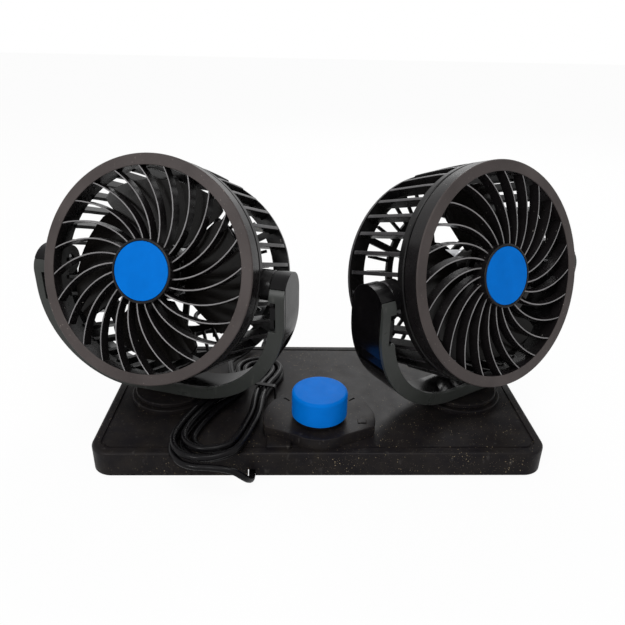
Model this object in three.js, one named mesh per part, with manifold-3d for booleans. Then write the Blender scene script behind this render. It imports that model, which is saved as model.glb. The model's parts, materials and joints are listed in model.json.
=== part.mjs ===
// Twin-head 12 V cabin fan: two caged fans on swivelling yokes over one flat base,
// with a rotary speed knob, and a power lead that ends in a socket plug.
// Millimetres, +Z up, the fans face -Y. The origin is the middle of the underside
// of the central adhesive pad, which is the surface that the fan stands on.
import * as THREE from "three";
import { mergeVertices } from "three/addons/utils/BufferGeometryUtils.js";
import Module from "manifold-3d";

const wasm = await Module();
wasm.setup();

// ---------------------------------------------------------------- fits and walls
const CLEARANCE = 0.3; // between pieces that touch or turn on each other
const WALL = 2.4; // base shell
const TURN = 2 * Math.PI;
const DEGREE = Math.PI / 180;

// ---------------------------------------------------------------- base
const BASE_WIDTH = 250;
const BASE_DEPTH = 122.4;
const BASE_HEIGHT = 14.6;
const BASE_CORNER = 12;
const BASE_EDGE = 1.5; // bevel round the top
const SKIRT_GAP = 1.5; // skirt edge above the surface
const PAD_THICKNESS = 4.7;
const PAD_CORNER = 3;
const COVER_THICKNESS = 2.4;
const GROOVE_INSET = 4.8; // decorative line round the top panel
const GROOVE_WIDTH = 1.6;
const GROOVE_DEPTH = 0.7;
const CENTRE_PAD = [52, 40];
const CORNER_PAD = [24, 20];
const CORNER_PAD_INSET = [33, 24.2]; // of their middles from the base's sides
const BASE_SCREW_INSET = [14, 13.2];
const BASE_SCREW_RADIUS = 1.5;
const BASE_SCREW_HEAD = 3.4;
const BASE_SCREW_HEAD_HEIGHT = 1.4;
const BASE_BOSS_WALL = 2.2;

const CORNER_PAD_PLACE = [BASE_WIDTH / 2 - CORNER_PAD_INSET[0], BASE_DEPTH / 2 - CORNER_PAD_INSET[1]];
const BASE_SCREW_PLACE = [BASE_WIDTH / 2 - BASE_SCREW_INSET[0], BASE_DEPTH / 2 - BASE_SCREW_INSET[1]];
const SKIRT_BOTTOM = SKIRT_GAP;
const BASE_TOP = SKIRT_BOTTOM + BASE_HEIGHT;
const PANEL_UNDERSIDE = BASE_TOP - WALL;
const COVER_BOTTOM = PAD_THICKNESS + CLEARANCE;
const COVER_TOP = COVER_BOTTOM + COVER_THICKNESS;
const BACK_FACE = BASE_DEPTH / 2;
const FRONT_FACE = -BASE_DEPTH / 2;

// ---------------------------------------------------------------- knob and its platform
const KNOB_INSET = 24.2; // of its axis from the front
const KNOB_Y = FRONT_FACE + KNOB_INSET;
const KNOB_RADIUS = 15.6;
const KNOB_HEIGHT = 14.8;
const KNOB_EDGE = 1.6;
const KNOB_FLOOR = 4.6; // solid top over the shaft bore
const PLATFORM_HEIGHT = 7;
const PLATFORM_RADIUS = 31.8;
const PLATFORM_BULGE = 21.6;
const PLATFORM_WING_EDGE = 9; // wings stop this far in front of the knob's axis
const PLATFORM_BULGE_ANGLE = 38; // where the bulge starts, from straight ahead
const TAB_SIZE = [13, 10];
const TAB_PLACE = [-22.6, -52.4];
const TAB_HEIGHT = 2;
const NECK_RADIUS = 12.6;
const NECK_HEIGHT = 2.5;
const KNOB_GAP = 0.6;
const SWITCH_SIZE = [18, 20];
const SWITCH_SHAFT_RADIUS = 3;
const SWITCH_SHAFT_RISE = 10; // into the knob
const RESISTOR_SIZE = [34, 8, 4.8];
const RESISTOR_PLACE = [34, 4];

const PLATFORM_TOP = BASE_TOP + PLATFORM_HEIGHT;
const PLATFORM_UNDERSIDE = PLATFORM_TOP - WALL;
const KNOB_BOTTOM = PLATFORM_TOP + NECK_HEIGHT + KNOB_GAP;
const SWITCH_POCKET = Math.hypot(...SWITCH_SIZE) / 2 + CLEARANCE;

// ---------------------------------------------------------------- swivels and yokes
const HEAD_SPACING = 178.8; // between the two swivel axes
const SWIVEL_Y = -0.8;
const SWIVEL_COLLAR_RADIUS = 24.5;
const SWIVEL_COLLAR_HEIGHT = 2.8;
const SWIVEL_DISC_RADIUS = 22;
const SWIVEL_DISC_THICKNESS = 2.7;
const SPIGOT_RADIUS = 8;
const SWIVEL_WASHER_RADIUS = 13;
const SWIVEL_WASHER_THICKNESS = 1.2;
const SWIVEL_SCREW_RADIUS = 2;
const SWIVEL_SCREW_HEAD = 4.4;
const SWIVEL_SCREW_HEAD_HEIGHT = 2.2;
const SWIVEL_SCREW_BITE = 2.6; // into the yoke's foot

const YOKE_SIDE_GAP = 5.9; // from the bezel's edge to each arm
const YOKE_BAND = 8.8; // width of the arms seen from the front
const YOKE_LIP_GAP = 3.8; // from the bezel's edge to the front lip below it
const YOKE_FLOOR_GAP = 9.2; // and to the floor behind the lip
const YOKE_FLOOR_THICKNESS = 1.8;
const YOKE_FOOT_HEIGHT = 1.7; // under the floor
const YOKE_INNER_CORNER = 50;
const YOKE_OUTER_CORNER = 58;
const YOKE_FRONT = 12.5; // front face ahead of the tilt axis
const YOKE_BACK = -14.5;
const YOKE_EAR_TOP = 8; // rounded arm end above the tilt axis
const YOKE_COVER_THICKNESS = 2.4;
const YOKE_ARM_WALL = 2.2;
const YOKE_POCKET_DROP = 40;
const YOKE_POCKET_TOP = -2; // below the tilt axis; a round seat for the pin's head reaches higher
const YOKE_FOOT_RADIUS = 16;
const YOKE_WINDOW = { start: 5, height: 17, width: 3.8 };
const YOKE_WINDOW_BLOCK = { start: 8, height: 7, depth: 1.1 };
const PIVOT_PIN_RADIUS = 3;
const PIVOT_PIN_HEAD = 5.4;
const PIVOT_PIN_HEAD_THICKNESS = 1.8;

const COLLAR_TOP = BASE_TOP + SWIVEL_COLLAR_HEIGHT;
const DISC_BOTTOM = COLLAR_TOP + CLEARANCE;
const DISC_TOP = DISC_BOTTOM + SWIVEL_DISC_THICKNESS;
const YOKE_EAR_RADIUS = (YOKE_FRONT - YOKE_BACK) / 2;
const YOKE_EAR_MIDDLE = (YOKE_FRONT + YOKE_BACK) / 2;
const YOKE_COVER_BACK = YOKE_FRONT - YOKE_COVER_THICKNESS;

// ---------------------------------------------------------------- fan heads
// Along a head's axis, 0 is the tilt axis and the bezel's face is in front.
const BEZEL_FACE = 20.6;
const BEZEL_RADIUS = 62;
const BEZEL_BAND = 6.2; // width of the flat face round the vanes
const BEZEL_RIM_DEPTH = 9.6;
const BEZEL_WALL = 2.2;
const BEZEL_CHAMFER = 0.8;
const SEAM_GAP = 1.3; // dark line between the grille and the cage
const FLANGE_BACK = 15.5; // back of the cage's flange behind the bezel's face
const FLANGE_WALL = 2.2;
const SPIGOT_DEPTH = 2.3; // the cage reaches this far into the grille's rim
const HUB_RADIUS = 17.4;
const HUB_PROUD = 2.5; // ahead of the bezel's face
const HUB_DEPTH = 8.6;
const HUB_FLOOR = 2.4;
const BADGE_RADIUS = 15.9;
const BADGE_THICKNESS = 1.6;
const VANE_COUNT = 24;
const VANE_THICKNESS = 1.5;
const VANE_DEPTH = 6;
const VANE_SETBACK = 0.5;
const VANE_SWEEP = 32.5; // degrees turned from hub to bezel
const VANE_STEPS = 2;
const VANE_PHASE = 6.3; // degrees from the head's side to the first vane, at the hub
const CAGE_DEPTH = 56; // back of the cage behind the bezel's face
const CAGE_RIB_COUNT = 36;
const CAGE_RIB_THICKNESS = 1.8;
const CAGE_RIB_DEPTH = 3.2;
const CAGE_TOP_TAPER = 2; // smaller at the back, above and below
const CAGE_SIDE_FLARE = 3.6; // and larger there at the sides
const CAGE_BACK_BEVEL = 2.6; // the ribs' ends slope in over this height
const CAGE_BACK_INSET = 0.6; // back ring inside the ribs
const CAGE_BACK_RING = 9; // width of the back ring
const CAGE_BACK_THICKNESS = 2.2;
const CAGE_SPOKES = 6;
const CAGE_SPOKE_WIDTH = 4;
const MOTOR_PLATE_RADIUS = 18;
const PIVOT_BOSS_RADIUS = 8.5;
const PIVOT_BOSS_DEPTH = 7;
const MOTOR_RADIUS = 13.8;
const MOTOR_LENGTH = 26;
const MOTOR_SHAFT_RADIUS = 1.2;
const MOTOR_SHAFT_LENGTH = 13;
const MOTOR_SCREW_CIRCLE = 8;
const MOTOR_SCREW_RADIUS = 1.2;
const MOTOR_SCREW_HEAD = 2.4;
const MOTOR_SCREW_HEAD_HEIGHT = 1.2;
const MOTOR_SCREW_BITE = 3;
const IMPELLER_HUB_RADIUS = 16.4;
const IMPELLER_HUB_DEPTH = 11;
const IMPELLER_FRONT_WALL = 4;
const IMPELLER_WALL = 1.8;
const BLADE_TIP_GAP = 4.8; // inside the bezel's opening
const BLADE_COUNT = 4;
const BLADE_PITCH = 26; // degrees
const BLADE_THICKNESS = 1.6;
const BLADE_ROOT_CHORD = 22;
const BLADE_TIP_CHORD = 40;

const BEZEL_OPENING = BEZEL_RADIUS - BEZEL_BAND;
const CAGE_BACK_TOP = BEZEL_RADIUS - CAGE_TOP_TAPER;
const CAGE_BACK_SIDE = BEZEL_RADIUS + CAGE_SIDE_FLARE;
const IMPELLER_RADIUS = BEZEL_OPENING - BLADE_TIP_GAP;
const YOKE_HALF_GAP = BEZEL_RADIUS + YOKE_SIDE_GAP;
const YOKE_LIP_DROP = BEZEL_RADIUS + YOKE_LIP_GAP;
const YOKE_FLOOR_DROP = BEZEL_RADIUS + YOKE_FLOOR_GAP;
const YOKE_OUTER_DROP = YOKE_FLOOR_DROP + YOKE_FLOOR_THICKNESS;
const PIVOT_HEIGHT = DISC_TOP + CLEARANCE + YOKE_FOOT_HEIGHT + YOKE_OUTER_DROP; // tilt axis
const GRILLE_BACK = BEZEL_FACE - BEZEL_RIM_DEPTH;
const FLANGE_FRONT = GRILLE_BACK - SEAM_GAP;
const FLANGE_END = BEZEL_FACE - FLANGE_BACK;
const CAGE_END = BEZEL_FACE - CAGE_DEPTH;
const CAGE_SPIGOT_RADIUS = BEZEL_RADIUS - BEZEL_WALL - CLEARANCE;
const MOTOR_BACK = CAGE_END + CAGE_BACK_THICKNESS + CLEARANCE;
const MOTOR_FRONT = MOTOR_BACK + MOTOR_LENGTH;
const SHAFT_BACK = MOTOR_FRONT + CLEARANCE;
const IMPELLER_FRONT = SHAFT_BACK + MOTOR_SHAFT_LENGTH + CLEARANCE + IMPELLER_FRONT_WALL / 2;
const IMPELLER_MIDDLE = IMPELLER_FRONT - IMPELLER_HUB_DEPTH / 2;

// How each head stands as it was left: turned about the swivel, tilted up.
const HEADS = [
  { side: "left", x: -HEAD_SPACING / 2, yaw: -17.5, tilt: 20 },
  { side: "right", x: HEAD_SPACING / 2, yaw: 31, tilt: 16.2 },
];

// ---------------------------------------------------------------- power lead
const CORD_DIAMETER = 3.6;
const CORD_SIDES = 8;
const CORD_STEP = 2.2 * CORD_DIAMETER;
const CORD_EXIT_X = -36;
const CORD_EXIT_Z = 10.6;
const RELIEF_LENGTH = 14;
const RELIEF_NECK = 2.7; // radii: in the base's wall
const RELIEF_ROOT = 3.6;
const RELIEF_TIP = 2.4;
const RELIEF_FLANGE = 4.6;
const RELIEF_FLANGE_THICKNESS = 1.4;
const NOTCH_WIDTH = 5;
const NOTCH_TOP = 5.6;
const FRONT_NOTCH_X = -37.2;
const BACK_NOTCH_X = -52;

const CORD_RADIUS = CORD_DIAMETER / 2;
const CORD_ON_FLOOR = CORD_RADIUS + CLEARANCE;
const CORD_ON_BASE = BASE_TOP + CLEARANCE + CORD_RADIUS;
const LAYER_RISE = CORD_DIAMETER + 0.5;

// The hank: loops that lie in two layers, drawn in where the tie holds them.
const HANK = {
  turns: 4.4,
  back: -17, // middle of the back fold, along the spine from the tie
  run: 72, // from fold to fold
  radius: 20.8, // of the outermost fold
  step: 4.5, // each loop inside the last
  fan: 3, // each loop's front fold is this much shorter
  draw: 8, // each run is drawn in at the tie
  waist: 20, // length over which it is drawn in
};
const HANK_SPINE = [
  [-38, 46],
  [-37.5, 30],
  [-38, 14],
  [-41, -3],
  [-46.5, -18],
  [-53, -34],
  [-58.5, -50],
  [-62.5, -65],
  [-65, -80],
  [-66.5, -96],
];
const HANK_TIE_INDEX = 3; // the spine's point where the tie is
const HANK_TIE_CORNER = 1.6; // cut off the tie's two upper corners
const HANK_ARC_STEPS = 7;
const HANK_RUN_STEPS = 5;
const WOUND_SIDES = 6;

// The put-away coil behind the base.
const COIL = { x: -78, y: 92, turns: 2.25, radius: 22, step: 4.2, start: -4 };
const COIL_STEPS = 24;

// The plug lies behind the coil, its cord end to the left.
const PLUG = {
  x: -81.2,
  y: 134.8,
  reliefLength: 12,
  reliefRoot: 4,
  reliefTip: 2.5,
  bodyRadius: 10.6,
  bodyLength: 34,
  shoulderRadius: 6.6,
  shoulderLength: 8,
  neckRadius: 9.2,
  neckLength: 15,
  tipRadius: 3.4,
  tipLength: 5,
  collarRadius: 6.4,
  collarLength: 3,
};
const PLUG_CONTACT = { start: 3, length: 8, width: 3.6, sunk: 2, proud: 1.2 };
const PLUG_Z = PLUG.bodyRadius + CLEARANCE;

const NEAR_ROUTE = [
  [CORD_EXIT_X, BACK_FACE + CLEARANCE + RELIEF_LENGTH + CLEARANCE, CORD_EXIT_Z],
  [CORD_EXIT_X, 79.4, 11],
  [CORD_EXIT_X, 83, 12.7],
  [-35.8, 85.5, 15.7],
  [-35.8, 86.4, 19.3],
  [-35.8, 85.6, 22.8],
  [-36, 83.1, 25.9],
  [-36.3, 79.6, 27.6],
  [-36.6, 76, 28],
  [-37.9, 69.1, 26.8],
  [-40.2, 62.9, 24],
  [-43.1, 57.2, 20.8],
  [-46.2, 51, CORD_ON_BASE + 0.7],
  [-50, 43.4, CORD_ON_BASE + 1],
  [-53.8, 35.9, 20.4],
  [-56.4, 27.9, 21.7],
];

// ---------------------------------------------------------------- helpers
/** A closed geometry as a solid: shared vertices merged, faces turned outwards. */
function solid(geometry) {
  geometry.deleteAttribute("normal");
  geometry.deleteAttribute("uv");
  const merged = mergeVertices(geometry, 1e-4);
  const index = merged.index.array;
  const triangles = [];
  for (let i = 0; i < index.length; i += 3) {
    const [a, b, c] = [index[i], index[i + 1], index[i + 2]];
    if (a !== b && b !== c && c !== a) {
      triangles.push([a, b, c]);
    }
  }
  const place = merged.attributes.position;
  const corner = (i) => new THREE.Vector3().fromBufferAttribute(place, i);
  let volume = 0;
  for (const [a, b, c] of triangles) {
    volume += corner(a).dot(corner(b).cross(corner(c)));
  }
  const order = volume < 0 ? ([a, b, c]) => [a, c, b] : (t) => t;
  return new wasm.Manifold(
    new wasm.Mesh({
      numProp: 3,
      vertProperties: Float32Array.from(place.array),
      triVerts: Uint32Array.from(triangles.flatMap(order)),
    }),
  );
}

/** All the solids as one. */
function join(solids) {
  return solids.reduce((whole, next) => whole.add(next));
}

/** A named mesh of a solid, with its own material. */
function piece(name, body, finish) {
  const mesh = body.getMesh();
  const geometry = new THREE.BufferGeometry();
  geometry.setAttribute("position", new THREE.BufferAttribute(mesh.vertProperties, 3));
  geometry.setIndex(new THREE.BufferAttribute(mesh.triVerts, 1));
  geometry.computeVertexNormals();
  const made = new THREE.Mesh(geometry, new THREE.MeshStandardMaterial(finish));
  made.name = name;
  return made;
}

/** A cylinder along Z. */
function rod(radius, bottom, top, { x = 0, y = 0, sides = 20 } = {}) {
  const geometry = new THREE.CylinderGeometry(radius, radius, top - bottom, sides);
  geometry.rotateX(Math.PI / 2);
  geometry.translate(x, y, (bottom + top) / 2);
  return solid(geometry);
}

/** A turned solid about Z; its profile of [radius, height] starts and ends on the axis, or is closed. */
function turned(profile, sides = 36) {
  const points = profile.map(([radius, height]) => new THREE.Vector2(radius, height));
  return solid(new THREE.LatheGeometry(points, sides).rotateX(Math.PI / 2));
}

/** A profile that closes on itself, for a ring. */
function ring(profile, sides = 36) {
  return turned([...profile, profile[0]], sides);
}

/** A box between two corners. */
function block([x0, y0, z0], [x1, y1, z1]) {
  const geometry = new THREE.BoxGeometry(x1 - x0, y1 - y0, z1 - z0);
  geometry.translate((x0 + x1) / 2, (y0 + y1) / 2, (z0 + z1) / 2);
  return solid(geometry);
}

/** A plan outline raised from bottom to top. */
function prism(shape, bottom, top, curveSegments = 4) {
  const settings = { depth: top - bottom, bevelEnabled: false, curveSegments };
  return solid(new THREE.ExtrudeGeometry(shape, settings).translate(0, 0, bottom));
}

function roundedRectangle(width, depth, radius) {
  const [w, d] = [width / 2, depth / 2];
  const shape = new THREE.Shape();
  shape.absarc(w - radius, d - radius, radius, 0, TURN / 4);
  shape.absarc(radius - w, d - radius, radius, TURN / 4, TURN / 2);
  shape.absarc(radius - w, radius - d, radius, TURN / 2, 0.75 * TURN);
  shape.absarc(w - radius, radius - d, radius, 0.75 * TURN, TURN);
  return shape;
}

function polygon(points) {
  return new THREE.Shape(points.map(([x, y]) => new THREE.Vector2(x, y)));
}

/** A cylinder along X. */
function axle(radius, start, end, sides = 20) {
  const geometry = new THREE.CylinderGeometry(radius, radius, end - start, sides);
  geometry.rotateZ(Math.PI / 2);
  geometry.translate((start + end) / 2, 0, 0);
  return solid(geometry);
}

const CORNER_NAMES = ["back_right", "back_left", "front_left", "front_right"];

/** Copies of a place mirrored to the four corners, in the order of their names. */
function corners([x, y]) {
  return [
    [x, y],
    [-x, y],
    [-x, -y],
    [x, -y],
  ];
}

/** A tube along points, with a polygon section that stays level. */
function tube(points, radius, sides) {
  const up = new THREE.Vector3(0, 0, 1);
  const positions = [];
  points.forEach((point, i) => {
    const before = points[Math.max(i - 1, 0)];
    const after = points[Math.min(i + 1, points.length - 1)];
    const ahead = after.clone().sub(before).normalize();
    const across = new THREE.Vector3().crossVectors(ahead, up).normalize();
    const above = new THREE.Vector3().crossVectors(across, ahead);
    for (let k = 0; k < sides; k += 1) {
      const angle = ((k + 0.5) / sides) * TURN;
      const corner = point.clone();
      corner.addScaledVector(across, radius * Math.cos(angle));
      corner.addScaledVector(above, radius * Math.sin(angle));
      positions.push(corner.x, corner.y, corner.z);
    }
  });
  const index = [];
  const last = (points.length - 1) * sides;
  for (let i = 0; i < last; i += sides) {
    for (let k = 0; k < sides; k += 1) {
      const next = (k + 1) % sides;
      index.push(i + k, i + next, i + sides + next);
      index.push(i + k, i + sides + next, i + sides + k);
    }
  }
  for (let k = 1; k < sides - 1; k += 1) {
    index.push(0, k + 1, k);
    index.push(last, last + k, last + k + 1);
  }
  const geometry = new THREE.BufferGeometry();
  geometry.setAttribute("position", new THREE.Float32BufferAttribute(positions, 3));
  geometry.setIndex(index);
  return solid(geometry);
}

/** The length of a line of points. */
function lengthOf(points) {
  return points.slice(1).reduce((sum, point, i) => sum + point.distanceTo(points[i]), 0);
}

/** The least gap between turns of a wound tube, measured between points set close along it. */
function leastGap(points, radius) {
  const fine = new THREE.CatmullRomCurve3(points).getPoints(points.length * 4);
  const apart = 6 * radius;
  let least = Infinity;
  let travelled = 0;
  const reach = fine.map((point, i) => (travelled += i ? point.distanceTo(fine[i - 1]) : 0));
  fine.forEach((point, i) => {
    for (let j = i + 1; j < fine.length; j += 1) {
      if (reach[j] - reach[i] > apart) {
        least = Math.min(least, point.distanceTo(fine[j]));
      }
    }
  });
  return least - 2 * radius;
}

/** A free stretch of cord through its route's points. */
function freeCord(route) {
  const curve = new THREE.CatmullRomCurve3(route.map((p) => new THREE.Vector3(...p)));
  const section = polygon(
    Array.from({ length: CORD_SIDES }, (_, k) => {
      const angle = ((k + 0.5) / CORD_SIDES) * TURN;
      return [CORD_RADIUS * Math.cos(angle), CORD_RADIUS * Math.sin(angle)];
    }),
  );
  const steps = Math.round(curve.getLength() / CORD_STEP);
  return {
    length: curve.getLength(),
    body: solid(new THREE.ExtrudeGeometry(section, { steps, extrudePath: curve })),
  };
}

// ---------------------------------------------------------------- finishes
const BLACK_SHELL = { color: 0x17161a, roughness: 0.5, metalness: 0 };
const GLOSS_BLACK = { color: 0x0d0d10, roughness: 0.22, metalness: 0 };
const BEZEL_GREY = { color: 0x2b2726, roughness: 0.6, metalness: 0 };
const BLUE = { color: 0x0476c9, roughness: 0.45, metalness: 0 };
const STEEL = { color: 0x8f9296, roughness: 0.35, metalness: 1 };
const BRASS = { color: 0xb08d4a, roughness: 0.35, metalness: 1 };
const RUBBER = { color: 0x101012, roughness: 0.75, metalness: 0 };
const FOAM = { color: 0x24262a, roughness: 0.95, metalness: 0 };
const CERAMIC = { color: 0xd8d4c8, roughness: 0.8, metalness: 0 };

// ---------------------------------------------------------------- base
/** Where the loops' ends, the notches and the exit pass the skirt. */
function notch(x, y) {
  const half = NOTCH_WIDTH / 2;
  const reach = 2 * WALL;
  return block([x - half, y - reach, SKIRT_BOTTOM - 1], [x + half, y + reach, NOTCH_TOP]);
}

function platform() {
  const shape = new THREE.Shape();
  const wing = Math.asin(PLATFORM_WING_EDGE / PLATFORM_RADIUS);
  const bulge = PLATFORM_BULGE_ANGLE * DEGREE;
  shape.absarc(0, KNOB_Y, PLATFORM_RADIUS, -wing, Math.PI + wing);
  shape.absarc(0, KNOB_Y, PLATFORM_BULGE, 0.75 * TURN - bulge, 0.75 * TURN + bulge);
  return prism(shape, PANEL_UNDERSIDE, PLATFORM_TOP, 9);
}

function baseTopShell() {
  const [width, depth] = [BASE_WIDTH - 2 * BASE_EDGE, BASE_DEPTH - 2 * BASE_EDGE];
  const outline = roundedRectangle(width, depth, BASE_CORNER - BASE_EDGE);
  const bevelled = new THREE.ExtrudeGeometry(outline, {
    depth: BASE_HEIGHT,
    bevelSize: BASE_EDGE,
    bevelThickness: BASE_EDGE,
    bevelSegments: 1,
    curveSegments: 4,
  }).translate(0, 0, BASE_TOP - BASE_HEIGHT - BASE_EDGE);
  const below = block(
    [-BASE_WIDTH, -BASE_DEPTH, SKIRT_BOTTOM - BASE_HEIGHT],
    [BASE_WIDTH, BASE_DEPTH, SKIRT_BOTTOM],
  );
  const inside = roundedRectangle(BASE_WIDTH - 2 * WALL, BASE_DEPTH - 2 * WALL, BASE_CORNER - WALL);
  const line = (inset) =>
    roundedRectangle(BASE_WIDTH - 2 * inset, BASE_DEPTH - 2 * inset, BASE_CORNER - inset);
  const groove = prism(line(GROOVE_INSET), BASE_TOP - GROOVE_DEPTH, BASE_TOP + 1).subtract(
    prism(line(GROOVE_INSET + GROOVE_WIDTH), BASE_TOP - 2, BASE_TOP + 2),
  );
  const bossRadius = BASE_SCREW_RADIUS + CLEARANCE + BASE_BOSS_WALL;
  const tab = new THREE.Vector2(...TAB_PLACE);
  const [tabWidth, tabDepth] = TAB_SIZE;
  const added = [
    platform(),
    rod(NECK_RADIUS, PLATFORM_UNDERSIDE, PLATFORM_TOP + NECK_HEIGHT, { y: KNOB_Y }),
    block(
      [tab.x - tabWidth / 2, tab.y - tabDepth / 2, PANEL_UNDERSIDE],
      [tab.x + tabWidth / 2, tab.y + tabDepth / 2, BASE_TOP + TAB_HEIGHT],
    ),
    ...HEADS.map(({ x }) => rod(SWIVEL_COLLAR_RADIUS, PANEL_UNDERSIDE, COLLAR_TOP, { x, y: SWIVEL_Y, sides: 28 })),
    ...corners(BASE_SCREW_PLACE).map(([x, y]) =>
      rod(bossRadius, COVER_TOP + CLEARANCE, PANEL_UNDERSIDE + 1, { x, y, sides: 8 }),
    ),
  ];
  const hole = BASE_SCREW_RADIUS + CLEARANCE;
  const removed = [
    rod(SWITCH_POCKET, PANEL_UNDERSIDE - 1, PLATFORM_UNDERSIDE, { y: KNOB_Y, sides: 16 }),
    rod(SWITCH_SHAFT_RADIUS + CLEARANCE, PLATFORM_UNDERSIDE - 1, KNOB_BOTTOM, { y: KNOB_Y, sides: 16 }),
    ...HEADS.map(({ x }) =>
      rod(SPIGOT_RADIUS + CLEARANCE, PANEL_UNDERSIDE - 1, COLLAR_TOP + 1, { x, y: SWIVEL_Y, sides: 16 }),
    ),
    ...corners(BASE_SCREW_PLACE).map(([x, y]) => rod(hole, COVER_TOP, PANEL_UNDERSIDE, { x, y, sides: 8 })),
    notch(FRONT_NOTCH_X, FRONT_FACE),
    notch(BACK_NOTCH_X, BACK_FACE),
    reliefHole(),
  ];
  const shell = solid(bevelled)
    .subtract(below)
    .subtract(prism(inside, SKIRT_BOTTOM - 1, PANEL_UNDERSIDE))
    .subtract(groove);
  return join([shell, ...added]).subtract(join(removed));
}

function reliefHole() {
  const radius = RELIEF_NECK + CLEARANCE;
  const geometry = new THREE.CylinderGeometry(radius, radius, 4 * WALL, 12);
  return solid(geometry.translate(CORD_EXIT_X, BACK_FACE, CORD_EXIT_Z));
}

function baseBottomCover() {
  const inset = WALL + CLEARANCE;
  const plan = roundedRectangle(BASE_WIDTH - 2 * inset, BASE_DEPTH - 2 * inset, BASE_CORNER - inset);
  const holes = corners(BASE_SCREW_PLACE).map(([x, y]) =>
    rod(BASE_SCREW_RADIUS + CLEARANCE, COVER_BOTTOM - 1, COVER_TOP + 1, { x, y, sides: 8 }),
  );
  return prism(plan, COVER_BOTTOM, COVER_TOP).subtract(join(holes));
}

function baseScrew([x, y]) {
  const headTop = COVER_BOTTOM - CLEARANCE;
  return rod(BASE_SCREW_HEAD, headTop - BASE_SCREW_HEAD_HEIGHT, headTop, { x, y, sides: 12 }).add(
    rod(BASE_SCREW_RADIUS, headTop - 0.5, PANEL_UNDERSIDE - CLEARANCE, { x, y, sides: 8 }),
  );
}

function pad([width, depth], [x, y]) {
  return prism(roundedRectangle(width, depth, PAD_CORNER), 0, PAD_THICKNESS, 3).translate([x, y, 0]);
}

// ---------------------------------------------------------------- speed control
function switchBody() {
  const [width, depth] = SWITCH_SIZE;
  return block(
    [-width / 2, KNOB_Y - depth / 2, COVER_TOP + CLEARANCE],
    [width / 2, KNOB_Y + depth / 2, PLATFORM_UNDERSIDE - CLEARANCE],
  );
}

function switchShaft() {
  const top = KNOB_BOTTOM + SWITCH_SHAFT_RISE;
  return rod(SWITCH_SHAFT_RADIUS, PLATFORM_UNDERSIDE, top, { y: KNOB_Y, sides: 16 });
}

function speedKnob() {
  const bore = SWITCH_SHAFT_RADIUS + CLEARANCE;
  const top = KNOB_BOTTOM + KNOB_HEIGHT;
  const boreTop = KNOB_BOTTOM + SWITCH_SHAFT_RISE + CLEARANCE;
  return turned(
    [
      [0, boreTop],
      [bore, boreTop],
      [bore, KNOB_BOTTOM],
      [KNOB_RADIUS - KNOB_EDGE / 2, KNOB_BOTTOM],
      [KNOB_RADIUS, KNOB_BOTTOM + KNOB_EDGE / 2],
      [KNOB_RADIUS, top - KNOB_EDGE],
      [KNOB_RADIUS - KNOB_EDGE / 3, top - KNOB_EDGE / 3],
      [KNOB_RADIUS - KNOB_EDGE, top],
      [0, top],
    ],
    28,
  ).translate([0, KNOB_Y, 0]);
}

function speedResistor() {
  const [x, y] = RESISTOR_PLACE;
  const [width, depth, height] = RESISTOR_SIZE;
  const bottom = COVER_TOP + CLEARANCE;
  return block([x - width / 2, y - depth / 2, bottom], [x + width / 2, y + depth / 2, bottom + height]);
}

// ---------------------------------------------------------------- swivel
/** Pieces of the swivel stand on the surface, with their axis at x = y = 0. */
function swivelDisc() {
  return rod(SWIVEL_DISC_RADIUS, DISC_BOTTOM, DISC_TOP, { sides: 28 })
    .add(rod(SPIGOT_RADIUS, PANEL_UNDERSIDE, DISC_BOTTOM + 1, { sides: 16 }))
    .subtract(rod(SWIVEL_SCREW_RADIUS + CLEARANCE, PANEL_UNDERSIDE - 1, DISC_TOP + 1, { sides: 10 }));
}

const WASHER_TOP = PANEL_UNDERSIDE - CLEARANCE;
const WASHER_BOTTOM = WASHER_TOP - SWIVEL_WASHER_THICKNESS;
const SWIVEL_SCREW_TOP = DISC_TOP + CLEARANCE + SWIVEL_SCREW_BITE;

function swivelWasher() {
  return rod(SWIVEL_WASHER_RADIUS, WASHER_BOTTOM, WASHER_TOP, { sides: 16 }).subtract(
    rod(SWIVEL_SCREW_RADIUS + CLEARANCE, WASHER_BOTTOM - 1, WASHER_TOP + 1, { sides: 10 }),
  );
}

function swivelScrew() {
  const headTop = WASHER_BOTTOM - CLEARANCE;
  return rod(SWIVEL_SCREW_HEAD, headTop - SWIVEL_SCREW_HEAD_HEIGHT, headTop, { sides: 12 }).add(
    rod(SWIVEL_SCREW_RADIUS, headTop - 1, SWIVEL_SCREW_TOP, { sides: 10 }),
  );
}

// ---------------------------------------------------------------- yoke
/** The yoke's pieces have the middle of the tilt axis at their origin, and face -Y. */
function uOutline(halfWidth, drop, corner) {
  const shape = new THREE.Shape();
  const top = YOKE_EAR_TOP + 1;
  shape.moveTo(halfWidth, top);
  shape.lineTo(-halfWidth, top);
  shape.absarc(corner - halfWidth, corner - drop, corner, TURN / 2, 0.75 * TURN);
  shape.absarc(halfWidth - corner, corner - drop, corner, 0.75 * TURN, TURN);
  return shape;
}

/** A front outline made solid from back to front, both measured ahead of the tilt axis. */
function facing(shape, back, front, curveSegments = 6) {
  const settings = { depth: front - back, bevelEnabled: false, curveSegments };
  return solid(new THREE.ExtrudeGeometry(shape, settings).translate(0, 0, back).rotateX(Math.PI / 2));
}

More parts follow.
